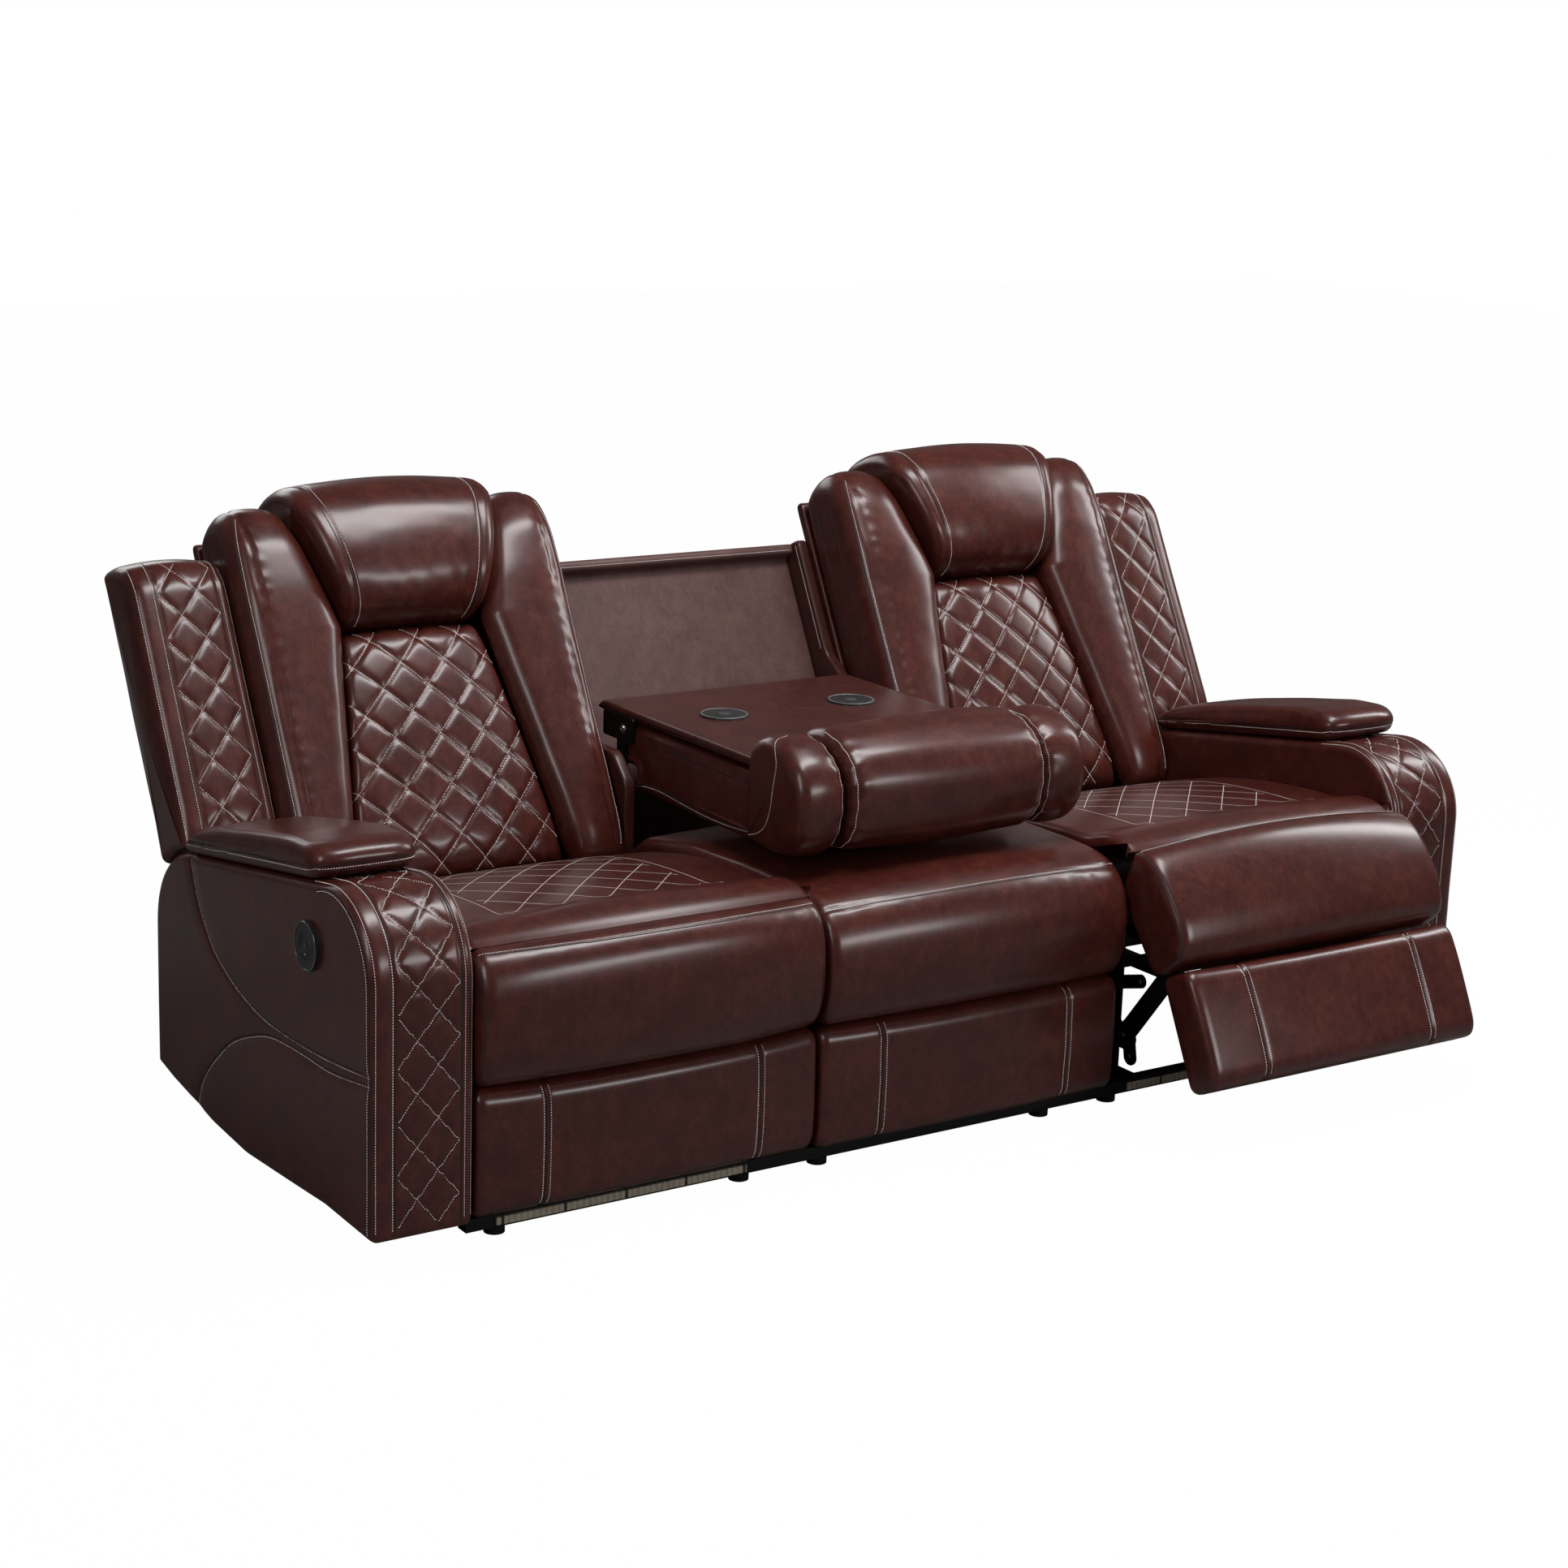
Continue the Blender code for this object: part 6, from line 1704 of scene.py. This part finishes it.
def make_world():
    """Walls that the camera sees as white, and the sofa as dim."""
    world = bpy.data.worlds.new("studio")
    bpy.context.scene.world = world
    world.use_nodes = True
    tree = world.node_tree
    ambient = tree.nodes["Background"]
    ambient.inputs["Color"].default_value = (1, 1, 1, 1)
    ambient.inputs["Strength"].default_value = AMBIENT
    white = tree.nodes.new("ShaderNodeBackground")
    white.inputs["Color"].default_value = (1, 1, 1, 1)
    white.inputs["Strength"].default_value = 1.0
    ray = tree.nodes.new("ShaderNodeLightPath")
    blend = tree.nodes.new("ShaderNodeMixShader")
    tree.links.new(ray.outputs["Is Camera Ray"], blend.inputs[0])
    tree.links.new(ambient.outputs[0], blend.inputs[1])
    tree.links.new(white.outputs[0], blend.inputs[2])
    tree.links.new(blend.outputs[0], tree.nodes["World Output"].inputs[0])


def make_studio():
    make_camera()
    make_floor()
    make_world()
    bpy.context.scene.view_settings.view_transform = "Standard"
    for name, place, aim, size, power in LAMPS:
        lamp = bpy.data.lights.new(name, "AREA")
        lamp.shape = "RECTANGLE"
        lamp.size, lamp.size_y = size
        lamp.energy = power
        holder = bpy.data.objects.new(name, lamp)
        holder.location = place
        holder.rotation_euler = (Vector(aim) - Vector(place)).to_track_quat("-Z", "Y").to_euler()
        bpy.context.scene.collection.objects.link(holder)


# Carried-over nodes

STEEL_NODES = ("front_rail", "base_rail", "seat_plate", "crank_link", "swing_link", "drive_motor",
               "table_bracket")
PLASTIC_NODES = ("drive_carriage", "switch_bezel", "recline_button", "charger")


def dress(node, material):
    """Gives a node of the CAD that still shows its material."""
    data = NODES[node].data
    data.materials.clear()
    data.materials.append(material)
    for face in data.polygons:
        face.material_index = 0


def dress_nodes():
    for node in NODES:
        if node.startswith(STEEL_NODES):
            dress(node, STEEL)
        elif node.startswith(PLASTIC_NODES):
            dress(node, PLASTIC)
        elif node.startswith("light_strip"):
            dress(node, LENS)


def main():
    make_studio()
    dress_nodes()
    for side in SIDES:
        make_lumbar(side)
        for edge in (-1, 1):
            make_side_roll(side, edge)
        make_headrest(side)
        make_wing(side)
        make_back_shell(side)
        make_seat(side)
        make_footrest(side)
        make_side_links(side)
        make_flap(side)
        make_arm(side)
        make_arm_pad(side)
        make_switch(side)
    make_middle_base()
    make_middle_seat()
    make_cheeks()
    make_rear_board()
    make_rear_skirt()
    make_table()


main()
